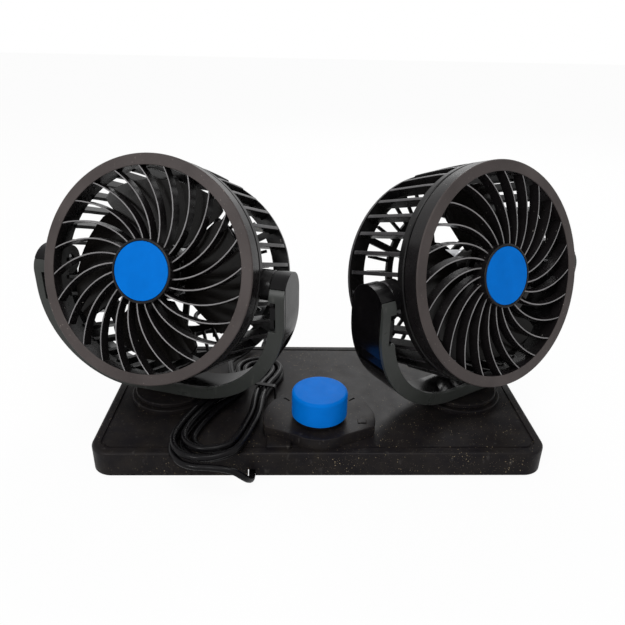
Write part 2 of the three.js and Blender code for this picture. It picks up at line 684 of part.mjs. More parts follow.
/** The arm's outline from the side, swept across the whole yoke: the arms end in round ears. */
function earProfile() {
  const shape = new THREE.Shape();
  const middle = YOKE_EAR_TOP - YOKE_EAR_RADIUS;
  shape.moveTo(YOKE_BACK, -YOKE_OUTER_DROP - 1);
  shape.lineTo(YOKE_FRONT, -YOKE_OUTER_DROP - 1);
  shape.absarc(YOKE_EAR_MIDDLE, middle, YOKE_EAR_RADIUS, 0, TURN / 2);
  const reach = YOKE_HALF_GAP + YOKE_BAND + 1;
  const geometry = new THREE.ExtrudeGeometry(shape, {
    depth: 2 * reach,
    bevelEnabled: false,
    curveSegments: 8,
  });
  geometry.translate(0, 0, -reach);
  const turn = new THREE.Matrix4().makeBasis(
    new THREE.Vector3(0, -1, 0),
    new THREE.Vector3(0, 0, 1),
    new THREE.Vector3(-1, 0, 0),
  );
  return solid(geometry.applyMatrix4(turn));
}

function yokeOuter(back, front) {
  const outline = uOutline(YOKE_HALF_GAP + YOKE_BAND, YOKE_OUTER_DROP, YOKE_OUTER_CORNER);
  return facing(outline, back, front).intersect(earProfile());
}

function armWindow(side, start, height, depth) {
  const inner = YOKE_HALF_GAP;
  const outer = YOKE_HALF_GAP + YOKE_WINDOW.width;
  const [x0, x1] = side > 0 ? [inner - 1, outer] : [-outer, 1 - inner];
  return block([x0, -YOKE_FRONT - 1, -start - height], [x1, -YOKE_FRONT + depth, -start]);
}

function yokeCover() {
  const opening = uOutline(YOKE_HALF_GAP, YOKE_LIP_DROP, YOKE_INNER_CORNER);
  const windows = [-1, 1].map((side) =>
    armWindow(side, YOKE_WINDOW.start, YOKE_WINDOW.height, YOKE_COVER_THICKNESS + 1),
  );
  return yokeOuter(YOKE_COVER_BACK, YOKE_FRONT)
    .subtract(facing(opening, YOKE_COVER_BACK - 1, YOKE_FRONT + 1))
    .subtract(join(windows));
}

function yokeBody() {
  const front = YOKE_COVER_BACK - CLEARANCE;
  const opening = uOutline(YOKE_HALF_GAP, YOKE_FLOOR_DROP, YOKE_INNER_CORNER);
  const wallInside = YOKE_HALF_GAP + YOKE_ARM_WALL;
  const wallOutside = YOKE_HALF_GAP + YOKE_BAND - YOKE_ARM_WALL;
  const pocket = (side) =>
    block(
      [Math.min(side * wallInside, side * wallOutside), -front - 1, -YOKE_POCKET_DROP],
      [Math.max(side * wallInside, side * wallOutside), -YOKE_BACK - YOKE_ARM_WALL, YOKE_POCKET_TOP],
    ).add(sideAxle(side, PIVOT_PIN_HEAD + CLEARANCE, wallInside, wallOutside, 12));
  const pinHole = axle(PIVOT_PIN_RADIUS + CLEARANCE, -wallOutside, wallOutside, 16);
  const footBottom = DISC_TOP + CLEARANCE - PIVOT_HEIGHT;
  const screwTop = SWIVEL_SCREW_TOP + CLEARANCE - PIVOT_HEIGHT;
  const blocks = [-1, 1].map((side) => {
    const x0 = YOKE_HALF_GAP + CLEARANCE;
    const x1 = YOKE_HALF_GAP + YOKE_WINDOW.width - CLEARANCE;
    const top = -YOKE_WINDOW_BLOCK.start;
    return block(
      [Math.min(side * x0, side * x1), -YOKE_FRONT + YOKE_WINDOW_BLOCK.depth, top - YOKE_WINDOW_BLOCK.height],
      [Math.max(side * x0, side * x1), -front + 1, top],
    );
  });
  return yokeOuter(YOKE_BACK, front)
    .subtract(facing(opening, YOKE_BACK - 1, front + 1))
    .subtract(pocket(-1))
    .subtract(pocket(1))
    .add(rod(YOKE_FOOT_RADIUS, footBottom, -YOKE_FLOOR_DROP - 0.5, { sides: 20 }).intersect(footLimit(footBottom)))
    .add(join(blocks))
    .subtract(pinHole)
    .subtract(rod(SWIVEL_SCREW_RADIUS + CLEARANCE, footBottom - 1, screwTop, { sides: 10 }));
}

/** Keeps the foot inside the yoke's depth, behind the cover. */
function footLimit(bottom) {
  const reach = YOKE_FOOT_RADIUS + 1;
  return block([-reach, -YOKE_COVER_BACK + CLEARANCE, bottom - 1], [reach, -YOKE_BACK, 0]);
}

/** An axle on one side of the yoke, from its inner end to its outer end. */
function sideAxle(side, radius, inner, outer, sides) {
  return side > 0 ? axle(radius, inner, outer, sides) : axle(radius, -outer, -inner, sides);
}

function pivotPin(side) {
  const start = YOKE_HALF_GAP - PIVOT_BOSS_DEPTH;
  const headStart = YOKE_HALF_GAP + YOKE_ARM_WALL + CLEARANCE;
  const headEnd = headStart + PIVOT_PIN_HEAD_THICKNESS;
  return sideAxle(side, PIVOT_PIN_RADIUS, start, headStart + 1, 12).add(
    sideAxle(side, PIVOT_PIN_HEAD, headStart, headEnd, 12),
  );
}

// ---------------------------------------------------------------- front grille
/** The head's pieces have their axis along Z, facing +Z, with the tilt axis along X. */
function vane(start) {
  const [inner, outer] = [HUB_RADIUS - 0.6, BEZEL_OPENING + 0.6];
  const middle = Array.from({ length: VANE_STEPS + 1 }, (_, i) => {
    const share = i / VANE_STEPS;
    const radius = inner + (outer - inner) * share;
    const angle = start + VANE_SWEEP * DEGREE * share;
    return new THREE.Vector2(radius * Math.cos(angle), radius * Math.sin(angle));
  });
  const side = (sign) =>
    middle.map((point, i) => {
      const before = middle[Math.max(i - 1, 0)];
      const after = middle[Math.min(i + 1, VANE_STEPS)];
      const along = after.clone().sub(before).normalize();
      const offset = (sign * VANE_THICKNESS) / 2;
      return [point.x - along.y * offset, point.y + along.x * offset];
    });
  const front = BEZEL_FACE - VANE_SETBACK;
  return prism(polygon([...side(1), ...side(-1).reverse()]), front - VANE_DEPTH, front);
}

function frontGrille() {
  const inside = BEZEL_RADIUS - BEZEL_WALL;
  const bezel = ring([
    [BEZEL_OPENING, BEZEL_FACE],
    [BEZEL_RADIUS - BEZEL_CHAMFER, BEZEL_FACE],
    [BEZEL_RADIUS, BEZEL_FACE - BEZEL_CHAMFER],
    [BEZEL_RADIUS, GRILLE_BACK],
    [inside, GRILLE_BACK],
    [inside, GRILLE_BACK + SPIGOT_DEPTH + CLEARANCE],
    [BEZEL_OPENING, GRILLE_BACK + SPIGOT_DEPTH + CLEARANCE],
  ]);
  const front = BEZEL_FACE + HUB_PROUD;
  const seat = front - BADGE_THICKNESS - CLEARANCE;
  const hub = turned(
    [
      [0, seat - HUB_FLOOR],
      [BADGE_RADIUS - 1, seat - HUB_FLOOR],
      [BADGE_RADIUS - 1, front - HUB_DEPTH],
      [HUB_RADIUS, front - HUB_DEPTH],
      [HUB_RADIUS, front],
      [BADGE_RADIUS + CLEARANCE, front],
      [BADGE_RADIUS + CLEARANCE, seat],
      [0, seat],
    ],
    24,
  );
  const vanes = Array.from({ length: VANE_COUNT }, (_, i) => vane(VANE_PHASE * DEGREE + (i / VANE_COUNT) * TURN));
  return join([hub, ...vanes, bezel]);
}

function hubBadge() {
  const front = BEZEL_FACE + HUB_PROUD;
  return rod(BADGE_RADIUS, front - BADGE_THICKNESS, front, { sides: 28 });
}

// ---------------------------------------------------------------- rear cage
/** How far the ribs stand out at a place along the axis, at an angle round it. */
function cageRadius(angle, place) {
  const share = (FLANGE_END - place) / (FLANGE_END - CAGE_END);
  const side = Math.cos(angle) ** 2;
  const back = CAGE_BACK_TOP + (CAGE_BACK_SIDE - CAGE_BACK_TOP) * side;
  const sideways = BEZEL_RADIUS + (back - BEZEL_RADIUS) * share;
  const domed = BEZEL_RADIUS + (back - BEZEL_RADIUS) * share ** 2;
  return side * sideways + (1 - side) * domed;
}

/** A plate in a plane through the axis, from an outline of [radius, place along the axis]. */
function radialPlate(outline, thickness, angle) {
  const geometry = new THREE.ExtrudeGeometry(polygon(outline), { depth: thickness, bevelEnabled: false });
  geometry.translate(0, 0, -thickness / 2);
  const outwards = new THREE.Vector3(Math.cos(angle), Math.sin(angle), 0);
  const ahead = new THREE.Vector3(0, 0, 1);
  const across = new THREE.Vector3().crossVectors(outwards, ahead);
  return solid(geometry.applyMatrix4(new THREE.Matrix4().makeBasis(outwards, ahead, across)));
}

function cageRib(angle) {
  const bevelStart = CAGE_END + CAGE_BACK_THICKNESS + CAGE_BACK_BEVEL;
  const end = CAGE_END + CAGE_BACK_THICKNESS / 2;
  const root = FLANGE_END + 1;
  const at = (place, inwards) => [cageRadius(angle, place) - inwards, place];
  const outline = [
    at(root, CLEARANCE),
    at(bevelStart, 0),
    at(end, CAGE_BACK_BEVEL),
    at(end, CAGE_BACK_BEVEL + CAGE_RIB_DEPTH),
    at(root, CAGE_RIB_DEPTH),
  ];
  return radialPlate(outline, CAGE_RIB_THICKNESS, angle);
}

function ellipseRing(across, upright, width, bottom, top) {
  const shape = new THREE.Shape().absellipse(0, 0, across, upright, 0, TURN);
  shape.holes.push(new THREE.Path().absellipse(0, 0, across - width, upright - width, 0, TURN, true));
  return prism(shape, bottom, top, 18);
}

function pivotBoss(side) {
  const outer = YOKE_HALF_GAP - CLEARANCE;
  const inner = YOKE_HALF_GAP - PIVOT_BOSS_DEPTH - 1;
  return sideAxle(side, PIVOT_BOSS_RADIUS, inner, outer, 16);
}

function rearCage() {
  const flange = ring([
    [BEZEL_RADIUS, FLANGE_FRONT],
    [BEZEL_RADIUS, FLANGE_END],
    [CAGE_SPIGOT_RADIUS - FLANGE_WALL, FLANGE_END],
    [CAGE_SPIGOT_RADIUS - FLANGE_WALL, GRILLE_BACK + SPIGOT_DEPTH],
    [CAGE_SPIGOT_RADIUS, GRILLE_BACK + SPIGOT_DEPTH],
    [CAGE_SPIGOT_RADIUS, FLANGE_FRONT],
  ]);
  const ribs = Array.from({ length: CAGE_RIB_COUNT }, (_, i) => cageRib((i / CAGE_RIB_COUNT) * TURN));
  const backTop = CAGE_BACK_TOP - CAGE_BACK_INSET;
  const backSide = CAGE_BACK_SIDE - CAGE_BACK_INSET;
  const backRing = ellipseRing(backSide, backTop, CAGE_BACK_RING, CAGE_END, CAGE_END + CAGE_BACK_THICKNESS);
  const spokes = Array.from({ length: CAGE_SPOKES }, (_, i) => {
    const angle = ((i + 0.5) / CAGE_SPOKES) * TURN;
    const reach = backTop - CAGE_BACK_RING / 2;
    const outline = [
      [MOTOR_PLATE_RADIUS / 2, CAGE_END],
      [reach, CAGE_END],
      [reach, CAGE_END + CAGE_BACK_THICKNESS - 0.1],
      [MOTOR_PLATE_RADIUS / 2, CAGE_END + CAGE_BACK_THICKNESS - 0.1],
    ];
    return radialPlate(outline, CAGE_SPOKE_WIDTH, angle);
  });
  const plate = rod(MOTOR_PLATE_RADIUS, CAGE_END, CAGE_END + CAGE_BACK_THICKNESS);
  const hole = PIVOT_PIN_RADIUS + CLEARANCE;
  const screwHoles = [-1, 1].map((side) =>
    rod(MOTOR_SCREW_RADIUS + CLEARANCE, CAGE_END - 1, CAGE_END + CAGE_BACK_THICKNESS + 1, {
      x: side * MOTOR_SCREW_CIRCLE,
      sides: 12,
    }),
  );
  return join([flange, ...ribs, backRing, ...spokes, plate, pivotBoss(-1), pivotBoss(1)])
    .subtract(axle(hole, -BEZEL_RADIUS * 2, BEZEL_RADIUS * 2, 16))
    .subtract(join(screwHoles));
}

// ---------------------------------------------------------------- motor and impeller
function motorCan() {
  const radius = MOTOR_SCREW_RADIUS + CLEARANCE;
  const depth = MOTOR_SCREW_BITE + CLEARANCE;
  const holes = [-1, 1].map((side) =>
    rod(radius, MOTOR_BACK - 1, MOTOR_BACK + depth, { x: side * MOTOR_SCREW_CIRCLE, sides: 12 }),
  );
  return rod(MOTOR_RADIUS, MOTOR_BACK, MOTOR_FRONT).subtract(join(holes));
}

function motorScrew(side) {
  const headFront = CAGE_END - CLEARANCE;
  const x = side * MOTOR_SCREW_CIRCLE;
  return rod(MOTOR_SCREW_HEAD, headFront - MOTOR_SCREW_HEAD_HEIGHT, headFront, { x, sides: 12 }).add(
    rod(MOTOR_SCREW_RADIUS, headFront - 0.5, MOTOR_BACK + MOTOR_SCREW_BITE, { x, sides: 10 }),
  );
}

function motorShaft() {
  return rod(MOTOR_SHAFT_RADIUS, SHAFT_BACK, SHAFT_BACK + MOTOR_SHAFT_LENGTH, { sides: 10 });
}

function blade(angle) {
  const root = IMPELLER_HUB_RADIUS - 1;
  const shape = new THREE.Shape();
  shape.moveTo(root, -BLADE_ROOT_CHORD / 2);
  shape.lineTo(IMPELLER_RADIUS * 0.93, -BLADE_TIP_CHORD / 2);
  shape.quadraticCurveTo(IMPELLER_RADIUS, -BLADE_TIP_CHORD / 4, IMPELLER_RADIUS, 0);
  shape.quadraticCurveTo(IMPELLER_RADIUS, BLADE_TIP_CHORD / 4, IMPELLER_RADIUS * 0.88, BLADE_TIP_CHORD / 2);
  shape.lineTo(root, BLADE_ROOT_CHORD / 2);
  const geometry = new THREE.ExtrudeGeometry(shape, {
    depth: BLADE_THICKNESS,
    bevelEnabled: false,
    curveSegments: 4,
  });
  geometry.translate(0, 0, -BLADE_THICKNESS / 2);
  geometry.rotateX(BLADE_PITCH * DEGREE);
  geometry.rotateZ(angle);
  geometry.translate(0, 0, IMPELLER_MIDDLE);
  return solid(geometry);
}

function impeller() {
  const bore = MOTOR_SHAFT_RADIUS + CLEARANCE;
  const back = IMPELLER_FRONT - IMPELLER_HUB_DEPTH;
  const wall = IMPELLER_FRONT - IMPELLER_FRONT_WALL;
  const outside = [
    [0, back],
    [IMPELLER_HUB_RADIUS, back],
    [IMPELLER_HUB_RADIUS, IMPELLER_FRONT - 1.5],
    [IMPELLER_HUB_RADIUS - 1.5, IMPELLER_FRONT],
    [0, IMPELLER_FRONT],
  ];
  const blades = Array.from({ length: BLADE_COUNT }, (_, i) => blade((i / BLADE_COUNT) * TURN));
  const hollow = rod(IMPELLER_HUB_RADIUS - IMPELLER_WALL, back - IMPELLER_HUB_DEPTH, wall, { sides: 16 });
  const sleeve = rod(bore + 2.5, back + 1, wall + 1, { sides: 10 });
  return join([turned(outside, 20), ...blades])
    .subtract(hollow)
    .add(sleeve)
    .subtract(rod(bore, back - IMPELLER_HUB_DEPTH, SHAFT_BACK + MOTOR_SHAFT_LENGTH + CLEARANCE, { sides: 10 }));
}

// ---------------------------------------------------------------- power lead
/** A cone along +Y from the base's back wall, or along +X into the plug. */
function coneAlong(axis, stations) {
  const profile = stations.map(([radius, place]) => new THREE.Vector2(radius, place));
  const geometry = new THREE.LatheGeometry(profile, 14);
  if (axis === "x") {
    geometry.rotateZ(-Math.PI / 2);
  }
  return solid(geometry);
}

function cordStrainRelief() {
  const start = CLEARANCE;
  const inside = -WALL - 2 * CLEARANCE;
  return coneAlong("y", [
    [0, inside - 1.2],
    [RELIEF_NECK, inside - 1.2],
    [RELIEF_NECK, start],
    [RELIEF_FLANGE, start],
    [RELIEF_FLANGE, start + RELIEF_FLANGE_THICKNESS],
    [RELIEF_ROOT, start + RELIEF_FLANGE_THICKNESS],
    [RELIEF_TIP, start + RELIEF_LENGTH],
    [0, start + RELIEF_LENGTH],
  ]).translate([CORD_EXIT_X, BACK_FACE, CORD_EXIT_Z]);
}

const SPINE = new THREE.CatmullRomCurve3(HANK_SPINE.map(([x, y]) => new THREE.Vector3(x, y, 0)));
const SPINE_LENGTH = SPINE.getLength();
const SPINE_TIE = lengthOf(
  SPINE.getPoints(40 * (HANK_SPINE.length - 1)).slice(0, 40 * HANK_TIE_INDEX + 1),
);

function smooth(share) {
  const t = Math.min(Math.max(share, 0), 1);
  return t * t * (3 - 2 * t);
}

/** The hank's middle line. A whole turn goes down the left run, round the front and back up the right run. */
function hankPoint(turn) {
  const inwards = Math.min(turn, HANK.turns - turn);
  const radius = HANK.radius - HANK.step * inwards;
  const front = HANK.back + HANK.run - HANK.fan * inwards;
  const run = front - HANK.back;
  const share = turn % 1;
  let along;
  let across;
  if (share < 0.25) {
    [along, across] = [HANK.back + run * 4 * share, -radius];
  } else if (share < 0.5) {
    const angle = (share - 0.25) * 2 * TURN;
    [along, across] = [front + radius * Math.sin(angle), -radius * Math.cos(angle)];
  } else if (share < 0.75) {
    [along, across] = [front - run * 4 * (share - 0.5), radius];
  } else {
    const angle = (share - 0.75) * 2 * TURN;
    [along, across] = [HANK.back - radius * Math.sin(angle), radius * Math.cos(angle)];
  }
  const drawn = HANK.draw * Math.exp(-((along / HANK.waist) ** 2));
  across -= drawn * Math.tanh(across / 3);
  const place = SPINE.getPointAt((SPINE_TIE + along) / SPINE_LENGTH);
  const ahead = SPINE.getTangentAt((SPINE_TIE + along) / SPINE_LENGTH);
  const climb = Math.floor(HANK.turns / 2);
  const layer = 1 - smooth((turn - climb) / 0.25);
  place.x -= ahead.y * across;
  place.y += ahead.x * across;
  place.z = CORD_ON_BASE + LAYER_RISE * layer;
  return place;
}

/** Steps of a turn, closer together round the folds. */
function hankTurns() {
  const stops = [];
  for (let quarter = 0; quarter < HANK.turns * 4; quarter += 1) {
    const steps = quarter % 2 ? HANK_ARC_STEPS : HANK_RUN_STEPS;
    for (let i = 0; i < steps; i += 1) {
      stops.push((quarter + i / steps) / 4);
    }
  }
  return [...stops.filter((turn) => turn < HANK.turns - 0.01), HANK.turns];
}

function coilPoint(turn) {
  const inwards = Math.min(turn, COIL.turns - turn);
  const radius = COIL.radius - COIL.step * inwards;
  const angle = COIL.start * DEGREE + turn * TURN;
  const layer = smooth((turn - COIL.turns / 2 + 0.25) / 0.5);
  return new THREE.Vector3(
    COIL.x + radius * Math.cos(angle),
    COIL.y + radius * Math.sin(angle),
    CORD_ON_FLOOR + LAYER_RISE * layer,
  );
}

/** Straight ends of one diameter, so that a wound tube meets the next face to face. */
function straightEnds(points) {
  const first = points[0].clone().sub(points[1]).setLength(CORD_DIAMETER).add(points[0]);
  const last = points.at(-1).clone().sub(points.at(-2)).setLength(CORD_DIAMETER).add(points.at(-1));
  return [first, ...points, last];
}

const HANK_POINTS = straightEnds(hankTurns().map(hankPoint));
const COIL_POINTS = straightEnds(
  Array.from({ length: COIL.turns * COIL_STEPS + 1 }, (_, i) => coilPoint(i / COIL_STEPS)),
);

/** The point a little past a wound tube's end, and another further on, in line with it. */
function beyond(points, atEnd, distance) {
  const [end, before] = atEnd ? [points.at(-1), points.at(-2)] : [points[0], points[1]];
  return end.clone().sub(before).setLength(distance).add(end).toArray();
}

const FAR_ROUTE = [
  beyond(HANK_POINTS, true, CLEARANCE),
  beyond(HANK_POINTS, true, CLEARANCE + CORD_DIAMETER),
  [-45.2, -76.2, 16.6],
  [-40.6, -75, 12.2],
  [-38, -71.4, 7.4],
  [-36.9, -65.6, 3.5],
  [FRONT_NOTCH_X, -57, CORD_ON_FLOOR + 0.1],
  [-38, -44, CORD_ON_FLOOR],
  [-41, -26, CORD_ON_FLOOR],
  [-43.5, -4, CORD_ON_FLOOR],
  [-46, 18, CORD_ON_FLOOR],
  [-49.5, 40, CORD_ON_FLOOR],
  [BACK_NOTCH_X, 60, CORD_ON_FLOOR],
  [-54, 75, CORD_ON_FLOOR],
  beyond(COIL_POINTS, false, CLEARANCE + CORD_DIAMETER),
  beyond(COIL_POINTS, false, CLEARANCE),
];
const TAIL_ROUTE = [
  beyond(COIL_POINTS, true, CLEARANCE),
  beyond(COIL_POINTS, true, CLEARANCE + CORD_DIAMETER),
  [-88.4, 117, 6.4],
  [-93, 119.8, 7.4],
  [-95.4, 124.8, 8.6],
  [-94.2, 130.2, 9.7],
  [-90.2, 133.8, 10.6],
  [PLUG.x - CLEARANCE - CORD_DIAMETER, PLUG.y, PLUG_Z],
  [PLUG.x - CLEARANCE, PLUG.y, PLUG_Z],
];
const NEAR_TO_HANK = [
  ...NEAR_ROUTE,
  beyond(HANK_POINTS, false, CLEARANCE + CORD_DIAMETER),
  beyond(HANK_POINTS, false, CLEARANCE),
];

/** A band round both runs of the hank at its waist. */
function hankTie() {
  const inner = HANK.radius - HANK.draw + CORD_RADIUS + 2 * CLEARANCE;
  const bottom = BASE_TOP + 0.05;
  const top = CORD_ON_BASE + LAYER_RISE + CORD_RADIUS;
  const [x, y] = HANK_SPINE[HANK_TIE_INDEX];
  const wall = 0.9;
  const half = 1.6;
  const ahead = SPINE.getTangentAt(SPINE_TIE / SPINE_LENGTH);
  const arch = (reach, low, high, corner) =>
    polygon([
      [-reach, low],
      [reach, low],
      [reach, high - corner],
      [reach - corner, high],
      [corner - reach, high],
      [-reach, high - corner],
    ]);
  return facing(arch(inner + wall, bottom, top + wall + CLEARANCE, HANK_TIE_CORNER), -half, half)
    .subtract(facing(arch(inner, bottom - 1, top + CLEARANCE, HANK_TIE_CORNER - wall), -2 * half, 2 * half))
    .rotate([0, 0, Math.atan2(ahead.y, ahead.x) / DEGREE + 90])
    .translate([x, y, 0]);
}

/** A closed band round the coil's turns at its right side. */
function coilTie() {
  const outer = COIL.radius + CORD_RADIUS + 2 * CLEARANCE;
  const inner = COIL.radius - (COIL.step * COIL.turns) / 2 - CORD_RADIUS - 2 * CLEARANCE;
  const top = CORD_ON_FLOOR + LAYER_RISE + CORD_RADIUS + CLEARANCE;
  const wall = 1;
  const half = 1.5;
  const { x, y } = COIL;
  const band = block([x - half, y + inner - wall, 0], [x + half, y + outer + wall, top + wall]);
  return band.subtract(block([x - 2 * half, y + inner, -1], [x + 2 * half, y + outer, top]));
}

/** The plug's turned pieces lie along +X from its cord end. */
function plugTurned(stations) {
  return coneAlong("x", stations).translate([PLUG.x, PLUG.y, PLUG_Z]);
}

const PLUG_BODY_START = PLUG.reliefLength + CLEARANCE;
const PLUG_BODY_END = PLUG_BODY_START + PLUG.bodyLength;
const PLUG_NECK_END = PLUG_BODY_END + PLUG.neckLength;

function plugRelief() {
  return plugTurned([
    [0, 0],
    [PLUG.reliefTip, 0],
    [PLUG.reliefRoot, PLUG.reliefLength],
    [0, PLUG.reliefLength],
  ]);
}

function plugBody() {
  const grip = PLUG.bodyRadius;
  return plugTurned([
    [0, PLUG_BODY_START],
    [PLUG.shoulderRadius, PLUG_BODY_START],
    [grip, PLUG_BODY_START + PLUG.shoulderLength],
    [grip, PLUG_BODY_END - 1],
    [PLUG.neckRadius, PLUG_BODY_END],
    [PLUG.neckRadius, PLUG_NECK_END - 2],
    [PLUG.neckRadius - 2, PLUG_NECK_END],
    [PLUG.collarRadius, PLUG_NECK_END],
    [PLUG.collarRadius, PLUG_NECK_END + PLUG.collarLength],
    [0, PLUG_NECK_END + PLUG.collarLength],
  ])
    .subtract(sideContact(-1, CLEARANCE))
    .subtract(sideContact(1, CLEARANCE));
}

/** A spring contact in the side of the plug's neck, or with a margin its socket. */
function sideContact(side, margin) {
  const { start, length, width, sunk, proud } = PLUG_CONTACT;
  const first = PLUG.x + PLUG_BODY_END + start - margin;
  const last = PLUG.x + PLUG_BODY_END + start + length + margin;
  const half = width / 2 + margin;
  const inner = side * (PLUG.neckRadius - sunk - margin);
  const outer = side * (PLUG.neckRadius + proud);
  return block(
    [first, PLUG.y + Math.min(inner, outer), PLUG_Z - half],
    [last, PLUG.y + Math.max(inner, outer), PLUG_Z + half],
  );
}

function plugTip() {
  const start = PLUG_NECK_END + PLUG.collarLength + CLEARANCE;
  return plugTurned([
    [0, start],
    [PLUG.tipRadius, start],
    [PLUG.tipRadius, start + PLUG.tipLength - 1.5],
    [PLUG.tipRadius / 2, start + PLUG.tipLength],
    [0, start + PLUG.tipLength],
  ]);
}

// ---------------------------------------------------------------- assembly
function addBase(group) {
  group.add(piece("base_top_shell", baseTopShell(), BLACK_SHELL));
  group.add(piece("base_bottom_cover", baseBottomCover(), BLACK_SHELL));
  group.add(piece("centre_adhesive_pad", pad(CENTRE_PAD, [0, 0]), FOAM));
  corners(CORNER_PAD_PLACE).forEach((place, i) => {
    group.add(piece(`${CORNER_NAMES[i]}_pad`, pad(CORNER_PAD, place), FOAM));
  });
  corners(BASE_SCREW_PLACE).forEach((place, i) => {
    group.add(piece(`${CORNER_NAMES[i]}_base_screw`, baseScrew(place), STEEL));
  });
  group.add(piece("rotary_switch_body", switchBody(), BLACK_SHELL));
  group.add(piece("switch_shaft", switchShaft(), STEEL));
  group.add(piece("speed_knob", speedKnob(), BLUE));
  group.add(piece("speed_resistor", speedResistor(), CERAMIC));
}

function addLead(group) {
  const near = freeCord(NEAR_TO_HANK);
  const far = freeCord(FAR_ROUTE);
  const tail = freeCord(TAIL_ROUTE);
  const hank = tube(HANK_POINTS, CORD_RADIUS, WOUND_SIDES);
  const coil = tube(COIL_POINTS, CORD_RADIUS, WOUND_SIDES);
  console.log(`cord_hank: least gap to itself ${leastGap(HANK_POINTS, CORD_RADIUS).toFixed(2)} mm`);
  console.log(`cord_coil: least gap to itself ${leastGap(COIL_POINTS, CORD_RADIUS).toFixed(2)} mm`);
  const whole = near.length + far.length + tail.length + lengthOf(HANK_POINTS) + lengthOf(COIL_POINTS);
  console.log(`power lead: ${whole.toFixed(0)} mm long`);
  group.add(piece("cord_strain_relief", cordStrainRelief(), RUBBER));
  group.add(piece("cord_near", near.body, RUBBER));
  group.add(piece("cord_hank", hank, RUBBER));
  group.add(piece("hank_tie", hankTie(), RUBBER));
  group.add(piece("cord_far", far.body, RUBBER));
  group.add(piece("cord_coil", coil, RUBBER));
  group.add(piece("coil_tie", coilTie(), RUBBER));
  group.add(piece("cord_tail", tail.body, RUBBER));
  group.add(piece("plug_strain_relief", plugRelief(), RUBBER));
  group.add(piece("plug_body", plugBody(), BLACK_SHELL));
  group.add(piece("plug_front_contact", sideContact(-1, 0), STEEL));
  group.add(piece("plug_back_contact", sideContact(1, 0), STEEL));
  group.add(piece("plug_tip", plugTip(), BRASS));
}

/** The two sides of a yoke and of its head. */
const ARM_NAMES = [
  ["l", -1],
  ["r", 1],
];

function addHead(group, { side, x, yaw, tilt }) {
  const swivel = new THREE.Group();
  swivel.position.set(x, SWIVEL_Y, 0);
  swivel.rotation.z = yaw * DEGREE;
  swivel.add(piece(`${side}_swivel_disc`, swivelDisc(), BLACK_SHELL));
  swivel.add(piece(`${side}_swivel_washer`, swivelWasher(), STEEL));
  swivel.add(piece(`${side}_swivel_screw`, swivelScrew(), STEEL));

  const yoke = new THREE.Group();
  yoke.position.z = PIVOT_HEIGHT;
  yoke.add(piece(`${side}_yoke_body`, yokeBody(), GLOSS_BLACK));
  yoke.add(piece(`${side}_yoke_cover`, yokeCover(), BEZEL_GREY));
  ARM_NAMES.forEach(([arm, sign]) => {
    yoke.add(piece(`${side}_pivot_pin_${arm}`, pivotPin(sign), STEEL));
  });

  const head = new THREE.Group();
  head.rotation.x = (90 - tilt) * DEGREE;
  head.add(piece(`${side}_front_grille`, frontGrille(), BEZEL_GREY));
  head.add(piece(`${side}_hub_badge`, hubBadge(), BLUE));
  head.add(piece(`${side}_rear_cage`, rearCage(), BLACK_SHELL));
  head.add(piece(`${side}_motor_can`, motorCan(), STEEL));
  ARM_NAMES.forEach(([arm, sign]) => {
    head.add(piece(`${side}_motor_screw_${arm}`, motorScrew(sign), STEEL));
  });
  head.add(piece(`${side}_motor_shaft`, motorShaft(), STEEL));
  head.add(piece(`${side}_impeller`, impeller(), BLACK_SHELL));

  yoke.add(head);
  swivel.add(yoke);
  group.add(swivel);
}

const fan = new THREE.Group();
addBase(fan);
addLead(fan);
HEADS.forEach((head) => addHead(fan, head));

export default fan;
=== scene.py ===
import json
import logging
import math
from dataclasses import dataclass, field
from enum import Enum
from typing import Callable, Sequence

import bmesh
import bpy
from mathutils import Matrix, Vector

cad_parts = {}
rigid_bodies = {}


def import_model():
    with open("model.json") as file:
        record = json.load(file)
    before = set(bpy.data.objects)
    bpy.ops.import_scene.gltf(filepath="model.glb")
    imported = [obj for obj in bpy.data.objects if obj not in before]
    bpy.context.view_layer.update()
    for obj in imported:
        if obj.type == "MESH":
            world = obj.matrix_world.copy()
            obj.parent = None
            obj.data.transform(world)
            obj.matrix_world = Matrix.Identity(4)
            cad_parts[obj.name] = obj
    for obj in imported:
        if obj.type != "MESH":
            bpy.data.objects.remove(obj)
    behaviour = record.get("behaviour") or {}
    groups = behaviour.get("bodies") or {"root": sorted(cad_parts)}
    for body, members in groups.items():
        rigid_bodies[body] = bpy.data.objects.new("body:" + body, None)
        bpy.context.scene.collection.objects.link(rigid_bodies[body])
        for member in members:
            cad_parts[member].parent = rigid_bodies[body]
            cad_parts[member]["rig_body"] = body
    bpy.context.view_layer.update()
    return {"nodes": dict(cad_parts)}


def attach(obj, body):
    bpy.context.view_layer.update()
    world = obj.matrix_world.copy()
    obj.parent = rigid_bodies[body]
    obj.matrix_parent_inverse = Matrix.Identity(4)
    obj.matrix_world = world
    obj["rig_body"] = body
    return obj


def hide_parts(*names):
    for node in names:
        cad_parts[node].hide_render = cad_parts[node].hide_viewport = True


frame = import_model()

LOG = logging.getLogger("cabin_fan")

MM = 0.001
TURN = 2 * math.pi
ORIGIN = (0.0, 0.0, 0.0)
NEAR = 0.02 * MM  # two heights closer than this are one
SPREAD = (0.3, 0.7)  # where most of a noise's values lie

# Places and sizes that several pieces share, in millimetres.
KNOB_Y = -37
HEAD_X = 89.4
SWIVEL_Y = -0.8
PIVOT_HEIGHT = 96.9
LEAD_X, LEAD_Z = -36, 10.6
CORD = 3.6

Object = bpy.types.Object
Socket = bpy.types.NodeSocket
Profile = Sequence[tuple[float, float]]


# ------------------------------------------------------------------ making meshes
class Cut(Enum):
    """How a tool solid changes the piece it is used on."""

    ADD = "UNION"
    REMOVE = "DIFFERENCE"
    KEEP = "INTERSECT"


